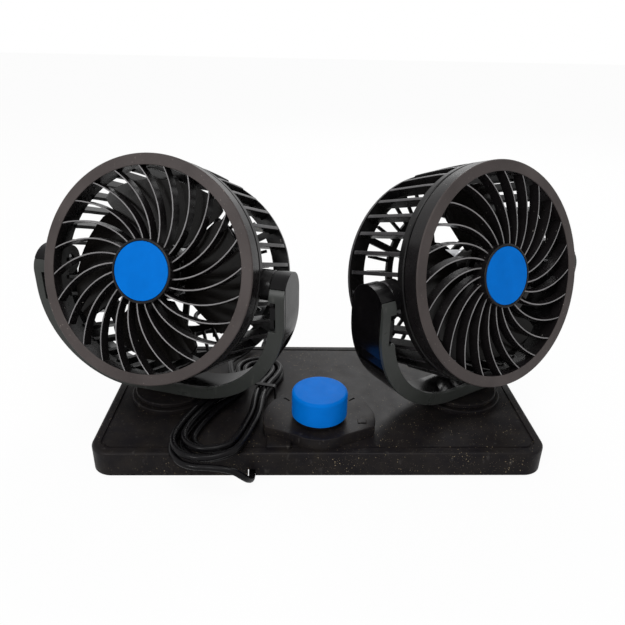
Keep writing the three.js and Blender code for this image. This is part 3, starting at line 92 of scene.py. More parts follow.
def deselect() -> None:
    """Leaves edit mode and clears the selection of objects."""
    if bpy.context.object and bpy.context.object.mode != "OBJECT":
        bpy.ops.object.mode_set(mode="OBJECT")
    bpy.ops.object.select_all(action="DESELECT")


def activate(piece: Object) -> None:
    """Selects one object alone and makes it active.

    Args:
        piece: the object.
    """
    deselect()
    piece.select_set(True)
    bpy.context.view_layer.objects.active = piece


def begin_edit(piece: Object, mode: str = "FACE") -> None:
    """Opens a piece for editing with nothing selected.

    Args:
        piece: the piece to edit.
        mode: VERT, EDGE or FACE selection.
    """
    activate(piece)
    bpy.ops.object.mode_set(mode="EDIT")
    bpy.ops.mesh.select_mode(type=mode)
    bpy.ops.mesh.select_all(action="DESELECT")


def end_edit() -> None:
    """Closes the edited piece."""
    bpy.ops.object.mode_set(mode="OBJECT")


FACTS = {
    "verts": lambda vert: (vert.co,),
    "edges": lambda edge: (edge.verts[0].co, edge.verts[1].co),
    "faces": lambda face: (face.calc_center_median(), face.normal),
}


def pick(piece: Object, kind: str, test: Callable[..., bool]) -> None:
    """Selects the parts of a mesh that pass a test, in edit mode.

    Args:
        piece: the piece being edited.
        kind: verts, edges or faces.
        test: says whether one is selected, from a vertex's place, an edge's two
            places, or a face's middle and normal.
    """
    mesh = bmesh.from_edit_mesh(piece.data)
    for part in getattr(mesh, kind):
        part.select = test(*FACTS[kind](part))
    mesh.select_flush_mode()
    bmesh.update_edit_mesh(piece.data)


def pick_all() -> None:
    """Selects the whole of the edited piece."""
    bpy.ops.mesh.select_all(action="SELECT")


def extrude(way: Sequence[float]) -> None:
    """Extrudes what is selected of the edited piece.

    Args:
        way: how far, in metres.
    """
    bpy.ops.mesh.extrude_region_move(TRANSFORM_OT_translate={"value": way})


def bevel(width: float, steps: int, kind: str = "EDGES") -> None:
    """Bevels what is selected of the edited piece.

    Args:
        width: how wide, in millimetres.
        steps: steps across it.
        kind: EDGES or VERTICES.
    """
    bpy.ops.mesh.bevel(offset=width * MM, segments=steps, affect=kind)


def face_outwards(piece: Object) -> None:
    """Merges doubles and turns every face outwards.

    Args:
        piece: the piece to mend.
    """
    begin_edit(piece, "VERT")
    pick_all()
    bpy.ops.mesh.remove_doubles(threshold=0.002 * MM)
    bpy.ops.mesh.normals_make_consistent(inside=False)
    end_edit()


def settle(piece: Object, place: Matrix | None = None) -> Object:
    """Puts a piece in place and applies the place to its mesh.

    Args:
        piece: the piece, made about the origin.
        place: where it goes; None leaves it.

    Returns:
        The same piece, with its object at the origin.
    """
    if place is not None:
        piece.matrix_world = place @ piece.matrix_world
    activate(piece)
    bpy.ops.object.transform_apply(location=True, rotation=True, scale=True)
    return piece


def block(name: str, low: Sequence[float], high: Sequence[float]) -> Object:
    """A box between two corners, as a start for a piece or a cutting tool.

    Args:
        name: the object's name.
        low: its lowest corner, in millimetres.
        high: its highest corner, in millimetres.

    Returns:
        The box.
    """
    deselect()
    middle = [(a + b) / 2 * MM for a, b in zip(low, high)]
    bpy.ops.mesh.primitive_cube_add(size=1, location=middle)
    piece = bpy.context.object
    piece.name = name
    piece.scale = [(b - a) * MM for a, b in zip(low, high)]
    return settle(piece)


def drawn(name: str, outline: Sequence[Sequence[float]], low: float, high: float) -> Object:
    """A piece with upright walls: an outline drawn point by point, filled and extruded.

    Args:
        name: the object's name.
        outline: points in plan, in millimetres.
        low: its lowest height.
        high: its highest height.

    Returns:
        The piece.
    """
    deselect()
    bpy.ops.mesh.primitive_plane_add(size=MM)
    piece = bpy.context.object
    piece.name = name
    begin_edit(piece, "VERT")
    pick_all()
    bpy.ops.mesh.merge(type="CENTER")
    x, y = outline[0]
    bpy.ops.transform.translate(value=(x * MM, y * MM, low * MM))
    for (x0, y0), (x1, y1) in zip(outline, outline[1:]):
        way = ((x1 - x0) * MM, (y1 - y0) * MM, 0)
        extrude(way)
    pick_all()
    bpy.ops.mesh.edge_face_add()
    rise = (0, 0, (high - low) * MM)
    extrude(rise)
    end_edit()
    face_outwards(piece)
    return piece


def turned(name: str, profile: Profile, sides: int = 96, closed: bool = False) -> Object:
    """A piece turned about Z: a circle extruded and resized along a profile.

    Args:
        name: the object's name.
        profile: radius and height of each ring, in millimetres; a radius of 0 at an
            end closes that end flat.
        sides: points round the circle.
        closed: whether the last ring joins the first.

    Returns:
        The turned piece.
    """
    rings = [(r, z) for r, z in profile if r > 0]
    deselect()
    radius, height = rings[0]
    bpy.ops.mesh.primitive_circle_add(
        vertices=sides, radius=radius * MM, location=(0, 0, height * MM), fill_type="NOTHING"
    )
    piece = bpy.context.object
    piece.name = name
    settle(piece)
    begin_edit(piece, "EDGE")
    pick_all()
    for (r0, z0), (r1, z1) in zip(rings, rings[1:]):
        bpy.ops.mesh.extrude_edges_move(TRANSFORM_OT_translate={"value": (0, 0, (z1 - z0) * MM)})
        bpy.ops.transform.resize(value=(r1 / r0, r1 / r0, 1), center_override=ORIGIN)
    if not closed and profile[-1][0] == 0:
        bpy.ops.mesh.edge_face_add()
    bpy.ops.mesh.select_all(action="DESELECT")
    mesh = bmesh.from_edit_mesh(piece.data)
    mesh.verts.ensure_lookup_table()
    ends = [range(sides)]
    if closed:
        ends.append(range(sides * (len(rings) - 1), sides * len(rings)))
    for end in ends:
        for i in end:
            mesh.verts[i].select = True
    for edge in mesh.edges:
        edge.select = edge.is_boundary and all(v.select for v in edge.verts)
    bmesh.update_edit_mesh(piece.data)
    if closed:
        bpy.ops.mesh.bridge_edge_loops()
    elif profile[0][0] == 0:
        bpy.ops.mesh.edge_face_add()
    end_edit()
    face_outwards(piece)
    return piece


def rod(name: str, radius: float, low: float, high: float, sides: int) -> Object:
    """A plain cylinder on the Z axis, as a tool or a start.

    Args:
        name: the object's name.
        radius: its radius, in millimetres.
        low: its bottom.
        high: its top.
        sides: points round it.

    Returns:
        The cylinder.
    """
    return turned(name, [(0, low), (radius, low), (radius, high), (0, high)], sides)


def rounded_slab(name: str, size: Sequence[float], corner: float, steps: int = 12) -> Object:
    """An upright slab with rounded corners, centred on the Z axis.

    Args:
        name: the object's name.
        size: width, depth, bottom and top, in millimetres.
        corner: the corners' radius.
        steps: steps round each corner.

    Returns:
        The slab.
    """
    width, depth, bottom, top = size
    piece = block(name, (-width / 2, -depth / 2, bottom), (width / 2, depth / 2, top))
    begin_edit(piece, "EDGE")
    pick(piece, "edges", lambda a, b: abs(a.z - b.z) > NEAR)
    bevel(corner, steps)
    end_edit()
    return piece


def section(
    name: str, size: Sequence[float], place: Sequence[float], turn: float = 0
) -> Object:
    """A rectangle that a long piece is drawn out from.

    Args:
        name: the object's name.
        size: its two sides, in millimetres.
        place: its middle, in millimetres.
        turn: its turn about Y, in radians.

    Returns:
        The rectangle.
    """
    deselect()
    bpy.ops.mesh.primitive_plane_add(size=1)
    piece = bpy.context.object
    piece.name = name
    piece.scale = (size[0] * MM, size[1] * MM, 1)
    piece.rotation_euler = (0, turn, 0)
    piece.location = [v * MM for v in place]
    return settle(piece)


def combine(piece: Object, tool: Object, how: Cut) -> Object:
    """Adds, removes or keeps the space of a tool solid, and deletes the tool.

    Args:
        piece: the piece that changes.
        tool: the solid it is combined with.
        how: the kind of change.

    Returns:
        The same piece.
    """
    modifier = piece.modifiers.new("combine", "BOOLEAN")
    modifier.operation = how.value
    modifier.solver = "EXACT"
    modifier.object = tool
    activate(piece)
    bpy.ops.object.modifier_apply(modifier=modifier.name)
    bpy.data.objects.remove(tool)
    return piece


def round_edges(piece: Object, width: float, steps: int = 2, angle: float = 40) -> Object:
    """Rounds the edges that are sharper than an angle.

    Args:
        piece: the piece.
        width: the rounding, in millimetres.
        steps: steps across it.
        angle: the least angle between faces, in degrees.

    Returns:
        The same piece.
    """
    modifier = piece.modifiers.new("round", "BEVEL")
    modifier.width = width * MM
    modifier.segments = steps
    modifier.limit_method = "ANGLE"
    modifier.angle_limit = math.radians(angle)
    modifier.use_clamp_overlap = True
    activate(piece)
    bpy.ops.object.modifier_apply(modifier=modifier.name)
    return piece


def shade(piece: Object, angle: float = 32) -> Object:
    """Smooth shading up to an angle, with normals weighted to the large faces.

    Args:
        piece: the piece.
        angle: edges sharper than this stay sharp, in degrees.

    Returns:
        The same piece.
    """
    activate(piece)
    bpy.ops.object.shade_smooth_by_angle(angle=math.radians(angle))
    modifier = piece.modifiers.new("weighted", "WEIGHTED_NORMAL")
    modifier.keep_sharp = True
    bpy.ops.object.modifier_apply(modifier=modifier.name)
    return piece


def copied(piece: Object, place: Matrix) -> Object:
    """A copy of a piece with its own mesh, moved to a place.

    Args:
        piece: the original.
        place: the move.

    Returns:
        The copy.
    """
    copy = piece.copy()
    copy.data = piece.data.copy()
    bpy.context.scene.collection.objects.link(copy)
    return settle(copy, place)


def joined(name: str, pieces: Sequence[Object]) -> Object:
    """Several meshes as one object.

    Args:
        name: the new name.
        pieces: the objects; the first takes the others in.

    Returns:
        The joined object.
    """
    deselect()
    for piece in pieces:
        piece.select_set(True)
    bpy.context.view_layer.objects.active = pieces[0]
    bpy.ops.object.join()
    whole = bpy.context.object
    whole.name = name
    whole.data.name = name
    return whole


def repeated(name: str, piece: Object, count: int) -> Object:
    """A ring of copies of a piece round the Z axis, as one object.

    Args:
        name: the ring's name.
        piece: the first copy.
        count: how many there are.

    Returns:
        The ring.
    """
    copies = [copied(piece, Matrix.Rotation(TURN * i / count, 4, "Z")) for i in range(1, count)]
    return joined(name, [piece, *copies])


def moved(x: float, y: float) -> Matrix:
    """A move across and from front to back.

    Args:
        x: how far across, in millimetres.
        y: how far back.

    Returns:
        The move.
    """
    return Matrix.Translation((x * MM, y * MM, 0))


def turned_by(degrees: float, axis: str = "Z") -> Matrix:
    """A turn about an axis through the origin.

    Args:
        degrees: the angle.
        axis: "X", "Y" or "Z".

    Returns:
        The turn.
    """
    return Matrix.Rotation(math.radians(degrees), 4, axis)


def along(axis_place: Sequence[float], axis: str) -> Matrix:
    """Turns a piece made along Z to lie along +X or +Y, from a place.

    Args:
        axis_place: where its zero goes, in millimetres.
        axis: "X" or "Y".

    Returns:
        The move.
    """
    turn = Matrix.Rotation(TURN / 4, 4, "Y") if axis == "X" else Matrix.Rotation(-TURN / 4, 4, "X")
    return Matrix.Translation(Vector(axis_place) * MM) @ turn


def arc(centre: Sequence[float], radius: float, start: float, end: float, steps: int) -> list:
    """Points on an arc of a profile.

    Args:
        centre: its centre, in millimetres.
        radius: its radius.
        start: first angle, in degrees.
        end: last angle.
        steps: steps between them.

    Returns:
        The points, both ends among them.
    """
    angles = [math.radians(start + (end - start) * i / steps) for i in range(steps + 1)]
    return [(centre[0] + radius * math.cos(a), centre[1] + radius * math.sin(a)) for a in angles]


# ------------------------------------------------------------------ finishes
Colour = tuple[float, float, float]


def screen(red: int, green: int, blue: int) -> Colour:
    """A colour as a screen shows it, in the linear values that a shader takes.

    Args:
        red: 0 to 255.
        green: 0 to 255.
        blue: 0 to 255.

    Returns:
        The linear colour.
    """

    def linear(value: int) -> float:
        share = value / 255
        return share / 12.92 if share < 0.04045 else ((share + 0.055) / 1.055) ** 2.4

    return (linear(red), linear(green), linear(blue))


class Graph:
    """A material's nodes, with short ways to add and join them."""

    MIX_FIRST, MIX_SECOND, MIX_RESULT = 6, 7, 2  # a Mix node's colour sockets

    def __init__(self, name: str) -> None:
        """Makes the material.

        Args:
            name: its name.
        """
        self.material = bpy.data.materials.new(name)
        self.material.use_nodes = True
        self.tree = self.material.node_tree
        self.shader = self.tree.nodes["Principled BSDF"]
        self.place = self.tree.nodes.new("ShaderNodeTexCoord").outputs["Object"]

    def add(self, kind: str, inputs: dict | None = None, **settings: object) -> bpy.types.Node:
        """Adds a node.

        Args:
            kind: its type, without the prefix.
            inputs: by name or place, the values or outputs that they take.
            settings: attributes to set on it.

        Returns:
            The node.
        """
        node = self.tree.nodes.new("ShaderNode" + kind)
        for key, value in settings.items():
            setattr(node, key, value)
        self.feed(node, inputs or {})
        return node

    def feed(self, node: bpy.types.Node, inputs: dict) -> None:
        """Sets a node's inputs, each to a value or an output.

        Args:
            node: the node.
            inputs: by name or place, what each takes.
        """
        for key, value in inputs.items():
            if isinstance(value, Socket):
                self.join(value, node.inputs[key])
            else:
                node.inputs[key].default_value = value

    def join(self, source: Socket, target: Socket) -> None:
        """Links an output to an input.

        Args:
            source: the output.
            target: the input.
        """
        self.tree.links.new(source, target)

    def noise(self, size: float, detail: float = 3, stretch: Sequence[float] = (1, 1, 1)) -> Socket:
        """Noise of a size.

        Args:
            size: of its patches, in millimetres.
            detail: octaves.
            stretch: scale along each axis.

        Returns:
            The output that holds it.
        """
        scale = [s / (size * MM) for s in stretch]
        place = self.add("Mapping", {"Scale": scale, "Vector": self.place}).outputs["Vector"]
        node = self.add("TexNoise", {"Scale": 1, "Detail": detail, "Vector": place})
        return node.outputs["Fac"]

    def ranged(self, value: Socket, source: Sequence[float], target: Sequence[float]) -> Socket:
        """Maps a value from one range to another.

        Args:
            value: the output to map.
            source: its range.
            target: the new range.

        Returns:
            The mapped output.
        """
        limits = zip(("From Min", "From Max", "To Min", "To Max"), (*source, *target))
        return self.add("MapRange", {"Value": value, **dict(limits)}).outputs["Result"]

    def maths(self, operation: str, first: Socket, second: Socket | float) -> Socket:
        """Joins two values, or a value and a number.

        Args:
            operation: MULTIPLY, LESS_THAN and so on.
            first: an output.
            second: an output or a number.

        Returns:
            The result.
        """
        return self.add("Math", {0: first, 1: second}, operation=operation).outputs["Value"]

    def mixed(self, share: Socket, first: Socket | tuple, second: Socket | tuple) -> Socket:
        """Mixes two colours.

        Args:
            share: how much of the second.
            first: a colour or an output.
            second: a colour or an output.

        Returns:
            The mixed colour.
        """
        first, second = ((*c, 1) if isinstance(c, tuple) else c for c in (first, second))
        inputs = {"Factor": share, self.MIX_FIRST: first, self.MIX_SECOND: second}
        return self.add("Mix", inputs, data_type="RGBA").outputs[self.MIX_RESULT]

    def specks(self, spacing: float, size: float, share: float) -> Socket:
        """Small spots, one in some of the cells of a pattern.

        Args:
            spacing: of the cells, in millimetres.
            size: of a spot, as a share of the spacing.
            share: of the cells that hold one.

        Returns:
            1 in a spot and 0 elsewhere.
        """
        cells = self.add("TexVoronoi", {"Scale": 1 / (spacing * MM), "Vector": self.place})
        parts = self.add("SeparateColor", {"Color": cells.outputs["Color"]})
        reach = self.ranged(parts.outputs["Green"], (0, 1), (size * 0.35, size))
        near = self.maths("LESS_THAN", cells.outputs["Distance"], reach)
        return self.maths("MULTIPLY", near, self.maths("LESS_THAN", parts.outputs["Red"], share))

    def bump(self, height: Socket, depth: float) -> Socket:
        """Relief from a height.

        Args:
            height: the output that holds it, 0 to 1.
            depth: of the relief, in millimetres.

        Returns:
            The bent normal.
        """
        inputs = {"Strength": 1, "Distance": depth * MM, "Height": height}
        return self.add("Bump", inputs).outputs["Normal"]


@dataclass(frozen=True)
class Dust:
    """Pale specks and a thin film that gather on a piece."""

    colour: Colour
    spacing: float
    size: float
    share: float
    film: float = 0.0
    low: float = 0.0  # height in millimetres under which specks are thickest


@dataclass(frozen=True)
class Finish:
    """A surface: its colour drifts, its gloss varies and it has a fine grain."""

    slot: str
    name: str
    colour: Colour
    drift: float = 0.2  # lighter and darker patches, as a share
    patch: float = 28.0  # their size in millimetres
    roughness: tuple[float, float] = (0.3, 0.42)
    specular: float = 0.2
    metallic: float = 0.0
    grain: float = 0.012  # depth of the grain, in millimetres
    grain_size: float = 0.45
    stretch: tuple[float, float, float] = (1, 1, 1)
    scuffs: float = 0.0  # how much rubbed spots lighten the colour
    dust: Dust | None = None

    def material(self) -> bpy.types.Material:
        """The Blender material, made once.

        Returns:
            The material.
        """
        found = bpy.data.materials.get(self.name)
        if found:
            return found
        graph = Graph(self.name)
        dark = tuple(c * (1 - self.drift) for c in self.colour)
        light = tuple(min(1.0, c * (1 + self.drift)) for c in self.colour)
        share = graph.ranged(graph.noise(self.patch, 4), SPREAD, (0, 1))
        colour = graph.mixed(share, dark, light)
        gloss = graph.ranged(graph.noise(self.patch * 0.35, 4), SPREAD, self.roughness)
        if self.scuffs:
            worn = graph.ranged(graph.noise(3.2, 8, (1, 1, 0.4)), (0.62, 0.74), (0, self.scuffs))
            colour = graph.mixed(worn, colour, screen(150, 146, 142))
        if self.dust:
            colour, gloss = self.dusted(graph, colour, gloss)
        grain = graph.noise(self.grain_size, 2, self.stretch)
        graph.feed(graph.shader, {
            "Base Color": colour, "Roughness": gloss, "Metallic": self.metallic,
            "Specular IOR Level": self.specular, "Normal": graph.bump(grain, self.grain),
        })
        return graph.material

    def dusted(self, graph: Graph, colour: Socket, gloss: Socket) -> tuple[Socket, Socket]:
        """Lays the dust over a colour.

        Args:
            graph: the material's nodes.
            colour: the colour's output.
            gloss: the roughness's output.

        Returns:
            The new colour and roughness.
        """
        dust = self.dust
        height = graph.add("SeparateXYZ", {"Vector": graph.place})
        gather = graph.ranged(graph.noise(34, 4), (0.4, 0.62), (0.15, 1))
        if dust.low:
            low = graph.ranged(height.outputs["Z"], (0, dust.low * MM), (1, 0.12))
            gather = graph.maths("MULTIPLY", gather, low)
        spots = graph.specks(dust.spacing, dust.size, dust.share)
        finer = graph.specks(dust.spacing * 0.47, dust.size * 0.8, dust.share)
        mask = graph.maths("MULTIPLY", graph.maths("MAXIMUM", spots, finer), gather)
        film = graph.ranged(graph.noise(9, 6), (0.35, 0.75), (0, dust.film))
        colour = graph.mixed(film, colour, dust.colour)
        colour = graph.mixed(mask, colour, dust.colour)
        rough = graph.maths("MAXIMUM", gloss, graph.maths("MULTIPLY", mask, 0.9))
        return colour, rough


BASE_BLACK = Finish(
    "base_plastic", "base_black", screen(24, 22, 24), specular=0.07,
    grain=0.02, grain_size=0.6, scuffs=0.08,
    dust=Dust(screen(214, 194, 158), 1.3, 0.16, 0.42, film=0.012, low=40),
)
HIDDEN_BLACK = Finish("base_plastic", "hidden_black", screen(26, 25, 26), roughness=(0.45, 0.6))
YOKE_BLACK = Finish(
    "yoke_plastic", "yoke_black", screen(10, 9, 10), roughness=(0.14, 0.24), specular=0.14,
    grain=0.004, grain_size=1.6, scuffs=0.03,
)
CAGE_BLACK = Finish(
    "cage_plastic", "cage_black", screen(14, 13, 14), roughness=(0.22, 0.34), specular=0.14,
    grain=0.006, grain_size=0.9, dust=Dust(screen(150, 146, 138), 3.4, 0.1, 0.3, film=0.015),
)
BEZEL_GREY = Finish(
    "bezel_plastic", "bezel_grey", screen(66, 60, 59), roughness=(0.38, 0.52),
    specular=0.14, grain=0.04, grain_size=0.4,
    dust=Dust(screen(132, 124, 118), 1.5, 0.17, 0.4, film=0.03),
)
VANE_BLACK = Finish(
    "bezel_plastic", "vane_black", screen(20, 18, 19), drift=0.12, roughness=(0.2, 0.32),
    specular=0.16, grain=0.006, dust=Dust(screen(150, 146, 140), 3.6, 0.12, 0.25, film=0.01),
)
# The vanes' front faces: a lighter grey that is a painted highlight along their thin front edges,
# with scuffs of wear on it.
VANE_EDGE_HIGHLIGHT = Finish(
    "bezel_plastic", "vane_edge", screen(118, 116, 117), drift=0.25, patch=12.0,
    roughness=(0.3, 0.44), specular=0.3, grain=0.01, scuffs=0.2,
)
# The cage's outermost outward faces: a lighter grey that is a painted highlight along the ribs'
# edges, with scuffs of wear on it.
RIB_EDGE_HIGHLIGHT = Finish(
    "cage_plastic", "rib_edge_highlight", screen(46, 44, 46), drift=0.3, patch=14.0,
    roughness=(0.26, 0.4), specular=0.3, grain=0.01, scuffs=0.1,
)
BAND_GREY = Finish(
    "bezel_plastic", "band_grey", screen(50, 52, 50), drift=0.16, roughness=(0.26, 0.38),
    specular=0.2, grain=0.012, scuffs=0.08,
)
BLUE = Finish(
    "blue_plastic", "bright_blue", screen(0, 106, 199), drift=0.05, patch=9.0,
    roughness=(0.34, 0.46), specular=0.03, grain=0.01, grain_size=0.5,
    dust=Dust(screen(30, 140, 222), 1.6, 0.12, 0.2, film=0.02),
)
IMPELLER_BLACK = Finish(
    "impeller_plastic", "impeller_black", screen(17, 15, 14), roughness=(0.14, 0.24),
    specular=0.16, grain=0.004, grain_size=1.2,
)
FOAM = Finish(
    "adhesive_foam", "grey_foam", screen(88, 90, 92), roughness=(0.85, 0.95), specular=0.1,
    grain=0.09, grain_size=0.8,
)
SCREW_STEEL = Finish(
    "screw_steel", "plated_steel", screen(176, 176, 178), drift=0.1, patch=4.0, metallic=1.0,
    roughness=(0.22, 0.36), grain=0.004, grain_size=0.6,
)
MOTOR_STEEL = Finish(
    "motor_steel", "motor_steel", screen(150, 148, 146), drift=0.14, patch=8.0, metallic=1.0,
    roughness=(0.28, 0.44), grain=0.006, grain_size=0.5, stretch=(0.2, 1, 1),
)
CERAMIC = Finish(
    "ceramic", "white_ceramic", screen(206, 200, 188), drift=0.08, patch=6.0,
    roughness=(0.7, 0.85), grain=0.03, grain_size=0.5,
)
RUBBER = Finish(
    "cord_rubber", "cord_black", screen(10, 9, 11), roughness=(0.24, 0.34), specular=0.12,
    patch=16.0, grain=0.003, grain_size=1.4,
)
PLUG_BLACK = Finish(
    "plug_plastic", "plug_black", screen(20, 20, 21), roughness=(0.26, 0.4), specular=0.4,
    grain=0.016, grain_size=0.5, scuffs=0.06,
)
BRASS = Finish(
    "tip_brass", "tip_metal", screen(214, 186, 120), drift=0.1, patch=3.0, metallic=1.0,
    roughness=(0.18, 0.32), grain=0.004, grain_size=0.5,
)


def mount(piece: Object, finish: Finish, *stands_for: str) -> Object:
    """Finishes a piece and puts it on the body of the CAD node that it stands for.

    Args:
        piece: the finished piece, in place.
        finish: its finish.
        stands_for: CAD nodes that it takes the place of.

    Returns:
        The same piece.
    """
    if not piece.data.materials:
        piece.data.materials.append(finish.material())
    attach(piece, frame["nodes"][stands_for[0]]["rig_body"])
    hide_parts(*stands_for)
    return piece


def two_toned(piece: Object, main_tone: Finish, other: Finish, test: Callable) -> Object:
    """Gives some of a piece's faces a finish of their own.

    Args:
        piece: the piece, in its own frame.
        main_tone: the finish of most faces.
        other: the finish of those that pass the test.
        test: says of a face's middle and normal whether it takes the other finish.

    Returns:
        The same piece.
    """
    piece.data.materials.append(main_tone.material())
    piece.data.materials.append(other.material())
    for face in piece.data.polygons:
        face.material_index = int(test(face.center, face.normal))
    return piece


# ------------------------------------------------------------------ camera, lamps and floor
@dataclass(frozen=True)
class PhotoCamera:
    """The camera that took the photograph, as solved from it, in millimetres and degrees."""

    place: tuple[float, float, float] = (-14.481, -319.548, 219.693)
    pitch: float = 25.6247
    yaw: float = 1.9226
    roll: float = 1.2252
    frame_px: float = 625
    focal_px: float = 597.703
    centre_row_px: float = 320.237
    sensor: float = 36

    def build(self) -> Object:
        """Makes the camera and makes it the scene's.

        Returns:
            The camera.
        """
        pitch, yaw, roll = (math.radians(a) for a in (self.pitch, self.yaw, self.roll))
        level = math.cos(pitch)
        ahead = Vector((math.sin(yaw) * level, math.cos(yaw) * level, -math.sin(pitch)))
        right = Vector((math.cos(yaw), -math.sin(yaw), 0))
        up = right.cross(ahead)
        across = right * math.cos(roll) + up * math.sin(roll)
        upright = up * math.cos(roll) - right * math.sin(roll)
        turn = Matrix((across, upright, -ahead)).transposed().to_4x4()
        deselect()
        bpy.ops.object.camera_add()
        camera = bpy.context.object
        camera.name = "photo_camera"
        camera.matrix_world = Matrix.Translation(Vector(self.place) * MM) @ turn
        camera.data.sensor_width = self.sensor
        camera.data.lens = self.sensor * self.focal_px / self.frame_px
        camera.data.shift_y = (self.centre_row_px - self.frame_px / 2) / self.frame_px
        camera.data.clip_start = 0.01
        bpy.context.scene.camera = camera
        return camera


@dataclass(frozen=True)
class Lamp:
    """A soft area lamp that looks at a point, in metres."""

    name: str
    place: tuple[float, float, float]
    size: float
    power: float
    colour: Colour = (1.0, 1.0, 1.0)
    looks_at: tuple[float, float, float] = (0, 0, 0.08)

    def build(self) -> Object:
        """Makes the lamp.

        Returns:
            The lamp.
        """
        deselect()
        bpy.ops.object.light_add(type="AREA", location=self.place)
        lamp = bpy.context.object
        lamp.name = self.name
        lamp.data.size = self.size
        lamp.data.energy = self.power
        lamp.data.color = self.colour
        away = Vector(self.place) - Vector(self.looks_at)
        lamp.rotation_euler = away.to_track_quat("Z", "Y").to_euler()
        return lamp


@dataclass(frozen=True)
class Studio:
    """A pale floor and a white surround, lit softly from the left, above and behind."""

    floor_reach: float = 6.0
    floor_colour: Colour = screen(238, 238, 238)
    surround: float = 0.5  # how bright the surround lights the object; it shows as white
    seen_white: float = 0.95  # how much of the floor's own shade the camera sees as white
    lamps: tuple[Lamp, ...] = (
        Lamp("key_lamp", (-0.62, -0.85, 0.66), 0.35, 4.4),
        Lamp("top_lamp", (0.1, -0.35, 1.1), 0.5, 4.0),
        Lamp("rim_lamp", (0.25, 0.9, 0.85), 0.6, 6.0),
    )

    def build(self) -> None:
        """Makes the lamps, the floor and the surround."""
        for lamp in self.lamps:
            lamp.build()
        deselect()
        bpy.ops.mesh.primitive_plane_add(size=2 * self.floor_reach)
        floor = bpy.context.object
        floor.name = "studio_floor"
        floor.data.materials.append(self.floor_material())
        self.light_surround()
        bpy.context.scene.view_settings.view_transform = "Standard"

    def floor_material(self) -> bpy.types.Material:
        """Pale, and nearly white to the camera, with the object's shadow kept faintly.

        Returns:
            The material.
        """
        graph = Graph("pale_floor")
        tone = graph.ranged(graph.noise(220, 2), SPREAD, (0, 0.3))
        graph.feed(graph.shader, {
            "Base Color": graph.mixed(tone, self.floor_colour, screen(232, 232, 232)),
            "Roughness": 0.9, "Specular IOR Level": 0,
        })
        white = graph.add("Emission", {"Strength": 1}).outputs["Emission"]
        seen = graph.add("LightPath").outputs["Is Camera Ray"]
        share = graph.maths("MULTIPLY", seen, self.seen_white)
        mix = graph.add("MixShader", {0: share, 1: graph.shader.outputs["BSDF"], 2: white})
        graph.feed(graph.tree.nodes["Material Output"], {"Surface": mix.outputs["Shader"]})
        return graph.material

    def light_surround(self) -> None:
        """White to the camera, to gloss and through glass, and softer as light."""
        world = bpy.context.scene.world or bpy.data.worlds.new("surround")
        bpy.context.scene.world = world
        world.use_nodes = True
        tree = world.node_tree
        back = tree.nodes["Background"]
        back.inputs["Color"].default_value = (1, 1, 1, 1)
        seen = tree.nodes.new("ShaderNodeLightPath")
        largest = seen.outputs["Is Camera Ray"]
        for name in ("Is Glossy Ray", "Is Transmission Ray"):
            node = tree.nodes.new("ShaderNodeMath")
            node.operation = "MAXIMUM"
            tree.links.new(largest, node.inputs[0])
            tree.links.new(seen.outputs[name], node.inputs[1])
            largest = node.outputs["Value"]
        strength = tree.nodes.new("ShaderNodeMapRange")
        strength.inputs["To Min"].default_value = self.surround
        strength.inputs["To Max"].default_value = 1
        tree.links.new(largest, strength.inputs["Value"])
        tree.links.new(strength.outputs["Result"], back.inputs["Strength"])


